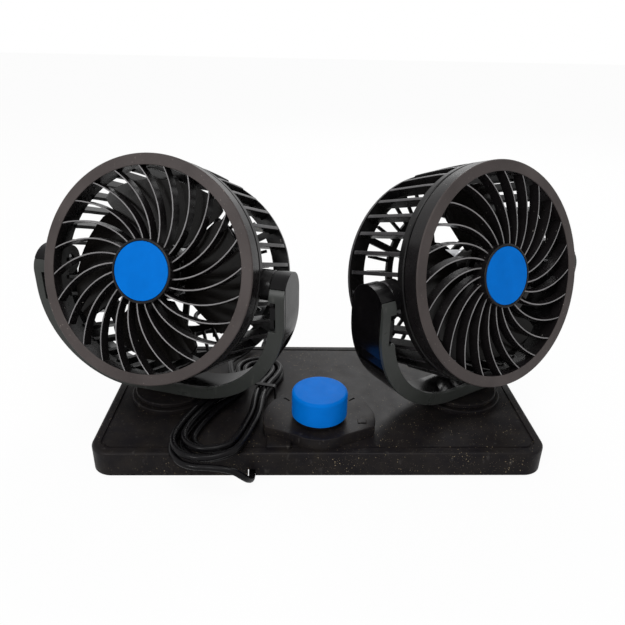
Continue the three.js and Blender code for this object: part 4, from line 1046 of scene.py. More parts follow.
# ------------------------------------------------------------------ power lead
@dataclass(frozen=True)
class Hank:
    """Loops in two layers on the base, drawn in at their tie, in millimetres."""

    turns: float = 4.4
    back: float = -17
    run: float = 72
    radius: float = 20.8
    step: float = 4.5
    fan: float = 3
    draw: float = 8
    waist: float = 20
    rise: float = 4.1
    height: float = 18.2
    spine: tuple[tuple[float, float], ...] = (
        (-38, 46), (-37.5, 30), (-38, 14), (-41, -3), (-46.5, -18),
        (-53, -34), (-58.5, -50), (-62.5, -65), (-65, -80), (-66.5, -96),
    )
    tie: int = 3
    arc_steps: int = 7
    run_steps: int = 5
    spine_steps: int = 40  # between two of the spine's points

    def spine_points(self) -> list[Vector]:
        """The spine as a smooth line through its points.

        Returns:
            Points along it.
        """
        knots = [Vector((x, y, 0)) for x, y in self.spine]
        knots = [knots[0] * 2 - knots[1], *knots, knots[-1] * 2 - knots[-2]]
        line = []
        for a, b, c, d in zip(knots, knots[1:], knots[2:], knots[3:]):
            first = max((b - a).length ** 0.5, 1e-4)
            middle = max((c - b).length ** 0.5, 1e-4)
            last = max((d - c).length ** 0.5, 1e-4)
            leave = ((b - a) / first - (c - a) / (first + middle) + (c - b) / middle) * middle
            reach = ((c - b) / middle - (d - b) / (middle + last) + (d - c) / last) * middle
            for i in range(self.spine_steps):
                t = i / self.spine_steps
                line.append(
                    b + leave * t + (c * 3 - b * 3 - leave * 2 - reach) * t**2
                    + (b * 2 - c * 2 + leave + reach) * t**3
                )
        return [*line, knots[-2]]

    def points(self) -> list[Vector]:
        """The hank's middle line, loop after loop.

        Returns:
            Its points.
        """
        line = self.spine_points()
        lengths = [0.0]
        for a, b in zip(line, line[1:]):
            lengths.append(lengths[-1] + (b - a).length)
        tie = lengths[self.spine_steps * self.tie]

        def on_spine(distance: float) -> tuple[Vector, Vector]:
            """The spine's place and direction at a distance along it.

            Args:
                distance: from its start, in millimetres.

            Returns:
                The place and the direction.
            """
            i = next((i for i, v in enumerate(lengths) if v > distance), len(lengths) - 1)
            share = (distance - lengths[i - 1]) / (lengths[i] - lengths[i - 1])
            ahead = line[i] - line[i - 1]
            return line[i - 1] + ahead * share, ahead.normalized()

        stops = []
        for quarter in range(math.ceil(self.turns * 4)):
            steps = self.arc_steps if quarter % 2 else self.run_steps
            stops += [(quarter + i / steps) / 4 for i in range(steps)]
        stops = [s for s in stops if s < self.turns - 0.01] + [self.turns]
        return [self.point(stop, tie, on_spine) for stop in stops]

    def point(self, turn: float, tie: float, on_spine: Callable) -> Vector:
        """A point of the line.

        Args:
            turn: loops so far.
            tie: the tie's distance along the spine.
            on_spine: gives the spine's place and direction at a distance.

        Returns:
            The point, in millimetres.
        """
        inwards = min(turn, self.turns - turn)
        radius = self.radius - self.step * inwards
        front = self.back + self.run - self.fan * inwards
        share = turn % 1
        if share < 0.25:
            ahead, across = self.back + (front - self.back) * 4 * share, -radius
        elif share < 0.5:
            angle = (share - 0.25) * 2 * TURN
            ahead, across = front + radius * math.sin(angle), -radius * math.cos(angle)
        elif share < 0.75:
            ahead, across = front - (front - self.back) * 4 * (share - 0.5), radius
        else:
            angle = (share - 0.75) * 2 * TURN
            ahead, across = self.back - radius * math.sin(angle), radius * math.cos(angle)
        drawn = self.draw * math.exp(-((ahead / self.waist) ** 2))
        across -= drawn * math.tanh(across / 3)
        layer = 1 - smooth((turn - math.floor(self.turns / 2)) / 0.25)
        place, way = on_spine(tie + ahead)
        return place + Vector((-way.y * across, way.x * across, self.height + self.rise * layer))


def smooth(share: float) -> float:
    """A soft step from 0 to 1.

    Args:
        share: 0 at its start, 1 at its end.

    Returns:
        The step's height.
    """
    t = min(max(share, 0.0), 1.0)
    return t * t * (3 - 2 * t)


@dataclass(frozen=True)
class Coil:
    """The put-away coil behind the base, in millimetres."""

    x: float = -78
    y: float = 92
    turns: float = 2.25
    radius: float = 22
    step: float = 4.2
    start: float = -4
    height: float = 2.1
    rise: float = 4.1
    steps: int = 24

    def points(self) -> list[Vector]:
        """The coil's middle line.

        Returns:
            Its points.
        """
        line = []
        for i in range(int(self.turns * self.steps) + 1):
            turn = i / self.steps
            radius = self.radius - self.step * min(turn, self.turns - turn)
            angle = math.radians(self.start) + turn * TURN
            layer = smooth((turn - self.turns / 2 + 0.25) / 0.5)
            line.append(Vector((
                self.x + radius * math.cos(angle),
                self.y + radius * math.sin(angle),
                self.height + self.rise * layer,
            )))
        return line


@dataclass(frozen=True)
class Lead:
    """The power lead: one cord from the base's relief, through hank and coil, to the plug."""

    diameter: float = CORD
    length: float = 1.648
    joint: float = 0.3
    exit: tuple[float, float, float] = (LEAD_X, 75.8, LEAD_Z)
    near: tuple[tuple[float, float, float], ...] = (
        (-36, 79.4, 11), (-36, 83, 12.7), (-35.8, 85.5, 15.7), (-35.8, 86.4, 19.3),
        (-35.8, 85.6, 22.8), (-36, 83.1, 25.9), (-36.3, 79.6, 27.6), (-36.6, 76, 28),
        (-37.9, 69.1, 26.8), (-40.2, 62.9, 24), (-43.1, 57.2, 20.8), (-46.2, 51, 18.9),
        (-50, 43.4, 19.2), (-53.8, 35.9, 20.4), (-56.4, 27.9, 21.7),
    )
    far: tuple[tuple[float, float, float], ...] = (
        (-45.2, -76.2, 16.6), (-40.6, -75, 12.2), (-38, -71.4, 7.4), (-36.9, -65.6, 3.5),
        (-37.2, -57, 2.2), (-38, -44, 2.1), (-41, -26, 2.1), (-43.5, -4, 2.1),
        (-46, 18, 2.1), (-49.5, 40, 2.1), (-52, 60, 2.1), (-54, 75, 2.1),
    )
    tail: tuple[tuple[float, float, float], ...] = (
        (-88.4, 117, 6.4), (-93, 119.8, 7.4), (-95.4, 124.8, 8.6), (-94.2, 130.2, 9.7),
        (-90.2, 133.8, 10.6), (-85.1, 134.8, 10.9), (-81.5, 134.8, 10.9),
    )
    hank: Hank = field(default_factory=Hank)
    coil: Coil = field(default_factory=Coil)

    def straightened(self, line: list[Vector]) -> list[Vector]:
        """A wound stretch with its straight ends, each a little longer than a diameter.

        Args:
            line: its points.

        Returns:
            The points with the ends added.
        """
        reach = self.diameter + self.joint / 2
        first = line[0] + (line[0] - line[1]).normalized() * reach
        last = line[-1] + (line[-1] - line[-2]).normalized() * reach
        return [first, *line, last]

    def route(self) -> list[Vector]:
        """The whole middle line.

        Returns:
            Its points, in millimetres.
        """
        return [
            Vector(self.exit), *map(Vector, self.near), *self.straightened(self.hank.points()),
            *map(Vector, self.far), *self.straightened(self.coil.points()),
            *map(Vector, self.tail),
        ]

    def build(self, plug: Sequence[str | Object]) -> Object:
        """Args:
            plug: the pieces at its far end and on it; not used.

        Returns:
            The cord.
        """
        route = self.route()
        deselect()
        bpy.ops.curve.primitive_bezier_curve_add()
        cord = bpy.context.object
        cord.name = "power_lead"
        spline = cord.data.splines[0]
        spline.bezier_points.add(len(route) - len(spline.bezier_points))
        for knot, place in zip(spline.bezier_points, route):
            knot.co = place * MM
            knot.handle_left_type = knot.handle_right_type = "AUTO"
        spline.resolution_u = 3
        cord.data.dimensions = "3D"
        cord.data.bevel_depth = self.diameter / 2 * MM
        cord.data.bevel_resolution = 5
        cord.data.use_fill_caps = True
        mount(cord, RUBBER, "cord_near", "cord_hank", "cord_far", "cord_coil", "cord_tail")
        return cord


@dataclass(frozen=True)
class LeadFittings:
    """What the lead runs through and ends in: relief, ties and plug, in millimetres."""

    exit_x: float = LEAD_X
    wall_y: float = 61.2
    exit_z: float = LEAD_Z
    diameter: float = CORD
    tie_reach: float = 15.2
    tie_wall: float = 0.9
    tie_half: float = 1.6
    plug_place: tuple[float, float, float] = (-81.2, 134.8, 10.9)

    def strain_relief(self) -> Object:
        """The tapered sleeve in the base's back wall, with notches that let it bend.

        Returns:
            The sleeve.
        """
        profile = [
            (0, -4.2), (2.7, -4.2), (2.7, 0.3), (4.4, 0.3), (4.6, 0.5), (4.6, 1.5), (4.4, 1.7),
        ]
        start, end, root, tip = 1.7, 14.3, 3.6, 2.4
        ribs = 5
        for i in range(ribs):
            share, after = i / ribs, (i + 0.62) / ribs
            low, high = start + (end - start) * share, start + (end - start) * after
            radius, next_radius = root + (tip - root) * share, root + (tip - root) * after
            profile += [(radius, low + 0.15), (next_radius, high - 0.1)]
            if i < ribs - 1:
                profile += [(next_radius - 0.5, high), (next_radius - 0.55, high + 0.8)]
        profile += [(tip, end - 0.2), (tip - 0.2, end), (0, end)]
        piece = turned("lead_relief", profile, 40)
        settle(piece, along((self.exit_x, self.wall_y, self.exit_z), "Y"))
        return mount(shade(piece, 40), RUBBER, "cord_strain_relief")

    def arch(
        self, name: str, reach: float, low: float, high: float, corner: float, half: float
    ) -> Object:
        """A block with its two upper corners cut, across the hank.

        Args:
            name: the object's name.
            reach: half its width.
            low: its bottom.
            high: its top.
            corner: how much of each corner goes.
            half: half its width along the hank.

        Returns:
            The block.
        """
        piece = block(name, (-reach, -half, low), (reach, half, high))
        begin_edit(piece, "EDGE")
        top = (high - 0.01) * MM
        side = (reach - 0.01) * MM
        pick(piece, "edges", lambda a, b: min(a.z, b.z) > top and min(abs(a.x), abs(b.x)) > side
                   and a.x * b.x > 0)
        bevel(corner, 4)
        end_edit()
        return piece

    def hank_tie(self, hank: Hank) -> Object:
        """The band round the hank.

        Args:
            hank: the hank it holds.

        Returns:
            The band.
        """
        bottom, top = 16.15, 24.1
        reach, wall = self.tie_reach, self.tie_wall
        band = self.arch("hank_band", reach + wall, bottom, top + wall + 0.3, 1.5, self.tie_half)
        hole = self.arch("hole", reach, bottom - 1, top + 0.3, 0.7, 4 * self.tie_half)
        combine(band, hole, Cut.REMOVE)
        round_edges(band, 0.25, 2, 60)
        line = hank.spine_points()
        middle = hank.spine_steps * hank.tie
        ahead = line[middle + 1] - line[middle - 1]
        turn = math.atan2(ahead.y, ahead.x) + TURN / 4
        x, y = hank.spine[hank.tie]
        settle(band, moved(x, y) @ Matrix.Rotation(turn, 4, "Z"))
        return mount(shade(band), RUBBER, "hank_tie")

    def coil_tie(self, coil: Coil) -> Object:
        """The band round the coil's turns.

        Args:
            coil: the coil it holds.

        Returns:
            The band.
        """
        outer = coil.radius + self.diameter / 2 + 0.6
        inner = coil.radius - coil.step * coil.turns / 2 - self.diameter / 2 - 0.6
        top, wall, half = 8.3, 1, 1.5
        band = block(
            "coil_band", (coil.x - half, coil.y + inner - wall, 0),
            (coil.x + half, coil.y + outer + wall, top + wall),
        )
        hole = block(
            "hole", (coil.x - 2 * half, coil.y + inner, -1),
            (coil.x + 2 * half, coil.y + outer, top),
        )
        combine(band, hole, Cut.REMOVE)
        round_edges(band, 0.3, 2, 60)
        return mount(shade(band), RUBBER, "coil_tie")

    def plug(self) -> list[Object]:
        """The plug's sleeve, body and tip, made along Z and laid along X.

        Returns:
            The three pieces.
        """
        place = along(self.plug_place, "X")
        sleeve_profile = [(0, 0), (2.3, 0), (2.5, 0.2)]
        for i in range(4):
            low = 0.8 + 2.8 * i
            radius = 2.5 + 1.5 * (low / 12)
            sleeve_profile += [(radius, low), (radius + 0.2, low + 1.7)]
            sleeve_profile += [(radius - 0.35, low + 1.9), (radius - 0.35, low + 2.5)]
        sleeve_profile += [(3.9, 11.8), (3.9, 12), (0, 12)]
        sleeve = turned("plug_sleeve", sleeve_profile, 36)
        body_start, body_end, neck_end = 12.3, 46.3, 61.3
        body_profile = [
            (0, body_start), (6.3, body_start), (6.7, body_start + 0.3),
            (8.2, body_start + 3.1), (9.6, body_start + 5.9), (10.35, body_start + 7.6),
            (10.6, body_start + 8.6),
        ]
        for i in range(9):
            groove = body_start + 11.5 + 2.1 * i
            body_profile += [
                (10.6, groove), (10.15, groove + 0.25), (10.15, groove + 0.75), (10.6, groove + 1),
            ]
        body_profile += [
            (10.6, body_end - 1.1), (10.3, body_end - 0.5), (9.2, body_end), (9.2, neck_end - 2),
            *arc((7.2, neck_end - 2), 2, 0, 90, 5), (6.4, neck_end), (6.4, neck_end + 2.6),
            (6, neck_end + 3), (0, neck_end + 3),
        ]
        body = turned("plug_grip", body_profile, 72)
        for side in (-1, 1):
            socket = block("socket", (-2.1, side * 8.25 - 1.35, body_end + 2.7),
                           (2.1, side * 8.25 + 1.35, body_end + 11.3))
            combine(body, socket, Cut.REMOVE)
        tip = turned("plug_point", [
            (0, 64.6), (3.2, 64.6), (3.4, 64.8), (3.4, 68), (3.1, 68.6), (1.7, 69.5), (1.3, 69.6),
            (0, 69.6),
        ], 36)
        for piece in (sleeve, body, tip):
            settle(piece, place)
            shade(piece, 35)
        return [
            mount(sleeve, RUBBER, "plug_strain_relief"),
            mount(body, PLUG_BLACK, "plug_body"),
            mount(tip, BRASS, "plug_tip"),
        ]


# ------------------------------------------------------------------ base and knob
@dataclass(frozen=True)
class Base:
    """The base's top shell with its collars, knob platform and neck, in millimetres."""

    width: float = 250
    depth: float = 122.4
    bottom: float = 1.5
    top: float = 16.1
    corner: float = 12
    edge: float = 1.5
    wall: float = 2.4
    groove_inset: float = 4.8
    groove_width: float = 1.6
    groove_depth: float = 0.7
    head_x: float = HEAD_X
    swivel_y: float = SWIVEL_Y
    knob_y: float = KNOB_Y
    platform_top: float = 23.1
    screws: tuple[float, float] = (111, 48)
    lead_exit: tuple[float, float] = (LEAD_X, LEAD_Z)  # across and up, in the back wall
    swivel_hole: float = 8.3
    switch_room: float = 13.75
    shaft_hole: float = 3.3
    notches: tuple[tuple[float, int], ...] = ((-37.2, -1), (-52, 1))  # across; front or back
    notch_half: float = 2.1
    notch_top: float = 5.6

    @property
    def underside(self) -> float:
        """The top panel's underside.

        Returns:
            Its height, in millimetres.
        """
        return self.top - self.wall

    def tray(self) -> Object:
        """The shell without what stands on it: rounded edge, groove, hollow underneath.

        Returns:
            The tray.
        """
        size = (self.width, self.depth, self.bottom, self.top)
        tray = rounded_slab("base_shell", size, self.corner, 14)
        high, low = (self.top - 0.01) * MM, (self.bottom + 0.01) * MM
        begin_edit(tray, "EDGE")
        pick(tray, "edges", lambda a, b: a.z > high and b.z > high)
        bevel(self.edge, 4)
        bpy.ops.mesh.select_mode(type="FACE")
        pick(tray, "faces", lambda middle, normal: middle.z > high and normal.z > 0.99)
        bpy.ops.mesh.inset(thickness=(self.groove_inset - self.edge) * MM)
        bpy.ops.mesh.inset(thickness=0.25 * MM, depth=-self.groove_depth * MM)
        bpy.ops.mesh.inset(thickness=(self.groove_width - 0.5) * MM)
        bpy.ops.mesh.inset(thickness=0.25 * MM, depth=self.groove_depth * MM)
        pick(tray, "faces", lambda middle, normal: middle.z < low and normal.z < -0.99)
        bpy.ops.mesh.inset(thickness=self.wall * MM)
        rise = (self.underside - self.bottom) * MM
        extrude((0, 0, rise))
        end_edit()
        face_outwards(tray)
        return tray

    def platform(self) -> Object:
        """The knob's platform: a disc cut off to two wings, with a round nose between.

        Returns:
            The platform.
        """
        low, high, radius, nose = self.top - 1, self.platform_top, 31.8, 21.6
        wing_front, bulge = 9, 38  # millimetres before the knob's axis, and degrees
        wing = math.degrees(math.asin(wing_front / radius))
        outline = arc(ORIGIN, radius, -wing, 180 + wing, 96)
        outline += arc(ORIGIN, nose, 270 - bulge, 270 + bulge, 40)
        disc = drawn("platform", outline, low, high)
        round_edges(disc, 0.5, 3, 60)
        for x, angle in ((-18.7, 46), (20.1, -47)):
            mark = block("mark", (-0.7, -2.2, high - 0.5), (0.7, 2.2, high + 1))
            settle(mark, moved(x, 18) @ turned_by(angle))
            combine(disc, mark, Cut.REMOVE)
        rest = block("rest", (21.5, -6.2, high - 0.5), (26.5, -2.4, high + 0.5))
        combine(disc, round_edges(rest, 0.3, 2), Cut.ADD)
        return settle(disc, moved(0, self.knob_y))

    def collar(self, side: int) -> Object:
        """A swivel's collar.

        Args:
            side: -1 for the left, 1 for the right.

        Returns:
            The collar.
        """
        low, high, radius = self.top - 1, 18.9, 24.5
        profile = [(0, low), (radius, low), *arc((radius - 0.7, high - 0.7), 0.7, 0, 90, 4)]
        collar = turned("collar", [*profile, (0, high)], 120)
        return settle(collar, moved(side * self.head_x, self.swivel_y))

    def upright(self, radius: float, low: float, high: float, x: float, y: float) -> Object:
        """An upright cylinder, as a tool or a boss.

        Args:
            radius: its radius.
            low: its bottom.
            high: its top.
            x: its axis's place across.
            y: and from front to back.

        Returns:
            The cylinder.
        """
        return settle(rod("tool", radius, low, high, 64), moved(x, y))

    def bosses(self) -> list[Object]:
        """The tubes under the top that the cover's screws go into.

        Returns:
            The four tubes.
        """
        profile = [(1.8, 7.7), (4, 7.7), (4, 14), (1.8, 14)]
        boss = turned("boss", profile, 32, closed=True)
        x, y = self.screws
        places = [(-x, y), (x, -y), (-x, -y), (x, y)]
        copies = [copied(boss, moved(*place)) for place in places[1:]]
        return [settle(boss, moved(*places[0])), *copies]

    def build(self) -> Object:
        """Makes the whole shell.

        Returns:
            The shell.
        """
        shell = self.tray()
        combine(shell, self.platform(), Cut.ADD)
        neck = [(0, 20), (12.6, 20), *arc((12.2, 25.2), 0.4, 0, 90, 3), (0, 25.6)]
        tool = settle(turned("neck", neck, 96), moved(0, self.knob_y))
        combine(shell, tool, Cut.ADD)
        tab = round_edges(block("tab", (-29.1, -57.4, 15), (-16.1, -47.4, 18.1)), 0.6, 3)
        combine(shell, tab, Cut.ADD)
        for side in (-1, 1):
            combine(shell, self.collar(side), Cut.ADD)
            x = side * self.head_x
            hole = self.upright(self.swivel_hole, self.underside - 1, 20, x, self.swivel_y)
            combine(shell, hole, Cut.REMOVE)
        room = self.upright(self.switch_room, self.bottom, 20.7, 0, self.knob_y)
        combine(shell, room, Cut.REMOVE)
        combine(shell, self.upright(self.shaft_hole, 19, 27, 0, self.knob_y), Cut.REMOVE)
        for x, end in self.notches:
            y, half = end * self.depth / 2, self.notch_half
            notch = block("notch", (x - half, y - 4, 0), (x + half, y + 4, self.notch_top))
            combine(shell, notch, Cut.REMOVE)
        lead_x, lead_z = self.lead_exit
        relief = rod("relief", 3, -6, 6, 32)
        settle(relief, along((lead_x, self.depth / 2, lead_z), "Y"))
        combine(shell, relief, Cut.REMOVE)
        shell = joined("base_shell", [shell, *self.bosses()])
        return mount(shade(shell, 35), BASE_BLACK, "base_top_shell")


@dataclass(frozen=True)
class Knob:
    """The round speed knob, in millimetres."""

    y: float = KNOB_Y
    radius: float = 15.6
    bottom: float = 26.2
    height: float = 14.8
    edge: float = 1.6

    def build(self) -> Object:
        """Turns the knob, with its bore for the switch's shaft.

        Returns:
            The knob.
        """
        top = self.bottom + self.height
        bore, bore_top = 3.3, self.bottom + 10.3
        profile = [
            (0, bore_top), (bore, bore_top), (bore, self.bottom), (self.radius - 0.5, self.bottom),
            (self.radius, self.bottom + 0.5),
            *arc((self.radius - self.edge, top - self.edge), self.edge, 0, 90, 7),
            (0, top),
        ]
        knob = turned("blue_knob", profile, 128)
        settle(knob, moved(0, self.y))
        return mount(shade(knob, 35), BLUE, "speed_knob")


# ------------------------------------------------------------------ swivels and yokes
@dataclass(frozen=True)
class HeadPlace:
    """Where one fan stands, as it was left: millimetres and degrees."""

    side: str
    x: float
    yaw: float
    tilt: float
    swivel_y: float = SWIVEL_Y
    pivot: float = PIVOT_HEIGHT

    def swivel(self) -> Matrix:
        """From the swivel's own frame to the part's.

        Returns:
            The move.
        """
        return moved(self.x, self.swivel_y) @ turned_by(self.yaw)

    def yoke(self) -> Matrix:
        """From the yoke's own frame, on the tilt axis, to the part's.

        Returns:
            The move.
        """
        return self.swivel() @ Matrix.Translation((0, 0, self.pivot * MM))

    def head(self) -> Matrix:
        """From the head's own frame, facing +Z, to the part's.

        Returns:
            The move.
        """
        return self.yoke() @ turned_by(90 - self.tilt, "X")


@dataclass(frozen=True)
class Swivel:
    """The disc that a yoke turns on, with the spigot under it, in millimetres."""

    radius: float = 22
    low: float = 19.2
    high: float = 21.9

    def build(self) -> Object:
        """Makes it on its own axis.

        Returns:
            The disc.
        """
        bore, spigot = 2.3, 8
        profile = [
            (bore, 13.7), (spigot, 13.7), (spigot, self.low), (self.radius - 0.5, self.low),
            (self.radius, self.low + 0.4),
            *arc((self.radius - 0.6, self.high - 0.6), 0.6, 0, 90, 4), (bore, self.high),
        ]
        return shade(turned("swivel", profile, 112, closed=True), 35)


@dataclass(frozen=True)
class Yoke:
    """The U that holds a head: a deep body behind and a flat cover in front.

    Sizes are in millimetres from the middle of the tilt axis; it faces -Y.
    """

    half_gap: float = 67.9
    band: float = 8.8
    lip_drop: float = 65.8
    floor_drop: float = 71.2
    outer_drop: float = 73
    foot_drop: float = PIVOT_HEIGHT - 22.2
    inner_corner: float = 50
    outer_corner: float = 58
    front: float = 12.5
    back: float = -14.5
    cover_back: float = 10.1
    gap: float = 0.3
    ear_top: float = 8
    arm_wall: float = 2.2

    def slab(self, half: float, drop: float, corner: float, back: float, front: float) -> Object:
        """A U's filled outline, made solid from back to front.

        Args:
            half: half its width.
            drop: how far it reaches below the axis.
            corner: radius of its two lower corners.
            back: its back, ahead of the axis.
            front: its front.

        Returns:
            The slab.
        """
        piece = block("slab", (-half, -front, -drop), (half, -back, self.ear_top + 2))
        begin_edit(piece, "EDGE")
        low = (0.01 - drop) * MM
        pick(piece, "edges", lambda a, b: a.z < low and b.z < low and abs(a.y - b.y) > NEAR)
        bevel(corner, 26)
        end_edit()
        return piece

    def outside(self, name: str, back: float, front: float) -> Object:
        """The whole outer form between two depths, its arms ending in round ears.

        Args:
            name: the object's name.
            back: its back, ahead of the axis.
            front: its front.

        Returns:
            The form.
        """
        half = self.half_gap + self.band
        piece = self.slab(half, self.outer_drop, self.outer_corner, back, front)
        piece.name = name
        ears = block("ears", (-half - 1, -self.front, -self.outer_drop - 1),
                     (half + 1, -self.back, self.ear_top))
        begin_edit(ears, "EDGE")
        high = (self.ear_top - 0.01) * MM
        pick(ears, "edges", lambda a, b: a.z > high and b.z > high and abs(a.x - b.x) > NEAR)
        radius = (self.front - self.back) / 2 - 0.002
        bevel(radius, 18)
        end_edit()
        return combine(piece, ears, Cut.KEEP)

    def axle_tool(self, radius: float, start: float, end: float) -> Object:
        """A cylinder along the tilt axis.

        Args:
            radius: its radius.
            start: its first end across.
            end: its last end.

        Returns:
            The cylinder.
        """
        return settle(rod("tool", radius, start, end, 48), Matrix.Rotation(TURN / 4, 4, "Y"))

    def cover(self) -> Object:
        """The front band, with a window near the top of each arm.

        Returns:
            The cover.
        """
        cover = self.outside("cover", self.cover_back, self.front)
        opening = self.slab(self.half_gap, self.lip_drop, self.inner_corner,
                            self.cover_back - 1, self.front + 1)
        combine(cover, opening, Cut.REMOVE)
        for side in (-1, 1):
            a, b = sorted((side * (self.half_gap - 1), side * (self.half_gap + 3.8)))
            window = block("window", (a, -self.front - 1, -22), (b, -self.cover_back + 1, -5))
            combine(cover, window, Cut.REMOVE)
        return shade(round_edges(cover, 0.6, 3, 50), 35)

    def body(self) -> Object:
        """The deep part behind the cover, with arm pockets, foot and pin holes.

        Returns:
            The body.
        """
        front = self.cover_back - self.gap
        body = self.outside("body", self.back, front)
        opening = self.slab(self.half_gap, self.floor_drop, self.inner_corner,
                            self.back - 1, front + 1)
        combine(body, opening, Cut.REMOVE)
        round_edges(body, 1.3, 4, 50)
        near, far = self.half_gap + self.arm_wall, self.half_gap + self.band - self.arm_wall
        foot_low, foot_high, radius = -self.foot_drop, -self.floor_drop - 0.5, 16
        foot = turned("foot", [(0, foot_low), (radius - 0.4, foot_low), (radius, foot_low + 0.4),
                               (radius, foot_high), (0, foot_high)], 80)
        limit = block("limit", (-radius - 1, -front, foot_low - 1), (radius + 1, -self.back, 0))
        combine(foot, limit, Cut.KEEP)
        combine(body, foot, Cut.ADD)
        for side in (-1, 1):
            a, b = sorted((side * near, side * far))
            pocket = block("pocket", (a, -front - 1, -40), (b, -self.back - self.arm_wall, -2))
            combine(body, pocket, Cut.REMOVE)
            combine(body, self.axle_tool(5.7, a, b), Cut.REMOVE)
            a, b = sorted((side * (self.half_gap + self.gap), side * (self.half_gap + 3.5)))
            plug = block("plug", (a, -self.front + 1.1, -15), (b, -front + 1, -8))
            combine(body, round_edges(plug, 0.3, 2), Cut.ADD)
        combine(body, self.axle_tool(3.3, -far, far), Cut.REMOVE)
        combine(body, rod("bore", 2.3, foot_low - 1, -71.8, 32), Cut.REMOVE)
        return shade(body, 35)


# ------------------------------------------------------------------ heads
@dataclass(frozen=True)
class Grille:
    """The front grille: a flat bezel, curved vanes and a hub, in millimetres.

    A head's pieces have their axis along Z, with the tilt axis at 0, and face +Z.
    """

    face: float = 20.6
    radius: float = 62
    opening: float = 55.8
    back: float = 11
    spigot_back: float = 13.6
    wall: float = 2.2
    chamfer: float = 0.8
    hub: float = 17.4
    hub_front: float = 23.1
    hub_back: float = 14.5
    badge: float = 15.9
    vanes: int = 24
    vane_front: float = 20.1
    vane_depth: float = 6
    vane_thick: float = 1.9
    vane_edge: float = 0.48  # its thickness in front, as a share
    sweep: float = 32.5
    phase: float = 6.3
    steps: int = 12

    def bezel(self) -> Object:
        """The ring round the vanes, with its rim.

        Returns:
            The ring.
        """
        inside = self.radius - self.wall
        edge = self.chamfer
        profile = [
            (self.opening, self.face - 0.4),
            *reversed(arc((self.opening + 0.4, self.face - 0.4), 0.4, 90, 150, 3)),
            *reversed(arc((self.radius - edge, self.face - edge), edge, 0, 90, 5)),
            (self.radius, self.back + 0.2), (self.radius - 0.2, self.back), (inside, self.back),
            (inside, self.spigot_back), (self.opening, self.spigot_back),
        ]
        bezel = shade(turned("bezel", profile, 176, closed=True), 30)
        inner = (self.face - self.chamfer - 0.05) * MM
        return two_toned(bezel, BEZEL_GREY, VANE_BLACK, lambda middle, _: middle.z < inner)

    def centre(self) -> Object:
        """The hub's cup, with the seat of its badge.

        Returns:
            The cup.
        """
        front, seat = self.hub_front, 21.2
        profile = [
            (0, seat - 2.4), (self.badge - 1, seat - 2.4), (self.badge - 1, self.hub_back),
            (self.hub, self.hub_back), *arc((self.hub - 0.5, front - 0.5), 0.5, 0, 90, 4),
            (self.badge + 0.4, front), (self.badge + 0.3, front - 0.1), (self.badge + 0.3, seat),
            (0, seat),
        ]
        return shade(turned("hub", profile, 96), 30)

    def vane(self) -> Object:
        """One vane: its section drawn out along the curve from hub to bezel.

        Returns:
            The vane.
        """
        inner, outer = self.hub - 0.6, self.opening + 0.6
        height = self.vane_front - self.vane_depth / 2
        size = (self.vane_depth, self.vane_thick)
        vane = section("vane", size, (inner, 0, height), TURN / 4)
        begin_edit(vane, "VERT")
        middle = height * MM
        pick(vane, "verts", lambda place: place.z > middle)
        bpy.ops.transform.resize(
            value=(1, self.vane_edge, 1), center_override=(inner * MM, 0, middle)
        )
        bevel(0.28, 2, "VERTICES")
        pick_all()
        turn = math.radians(self.sweep / self.steps)
        reach = (outer - inner) / self.steps * MM
        for i in range(self.steps):
            way = Vector((math.cos(turn * i), math.sin(turn * i), 0)) * reach
            extrude(way)
            self.swing(vane, turn)
        end_edit()
        face_outwards(vane)
        return settle(vane, turned_by(self.phase))

    def swing(self, piece: Object, angle: float) -> None:
        """Turns what is selected about the Z axis, in edit mode.

        Args:
            piece: the piece being edited.
            angle: in radians, from +X towards +Y.
        """
        mesh = bmesh.from_edit_mesh(piece.data)
        chosen = [v for v in mesh.verts if v.select]
        bmesh.ops.rotate(mesh, verts=chosen, cent=ORIGIN, matrix=Matrix.Rotation(angle, 3, "Z"))
        bmesh.update_edit_mesh(piece.data)

    def spokes(self) -> Object:
        """All the vanes.

        Returns:
            The vanes as one object.
        """
        vanes = shade(repeated("vanes", self.vane(), self.vanes), 40)
        # Faces that look forward take the painted highlight of the vanes' front edges.
        return two_toned(vanes, VANE_BLACK, VANE_EDGE_HIGHLIGHT, lambda _, normal: normal.z > 0.5)

    def disc(self) -> Object:
        """The flat disc let into the hub.

        Returns:
            The disc.
        """
        front, edge = self.hub_front, 0.35
        profile = [(0, front - 1.6), (self.badge, front - 1.6),
                   *arc((self.badge - edge, front - edge), edge, 0, 90, 4), (0, front)]
        return shade(turned("badge", profile, 96), 30)


def drill_motor_screws(piece: Object, low: float, high: float, sides: int) -> None:
    """Drills the two holes that the motor's screws go through.

    Args:
        piece: the cage's plate or the motor's can.
        low: the holes' lower end, in millimetres.
        high: their upper end.
        sides: points round each hole.
    """
    radius, place = 1.5, 8
    for side in (-1, 1):
        hole = settle(rod("hole", radius, low, high, sides), moved(side * place, 0))
        combine(piece, hole, Cut.REMOVE)


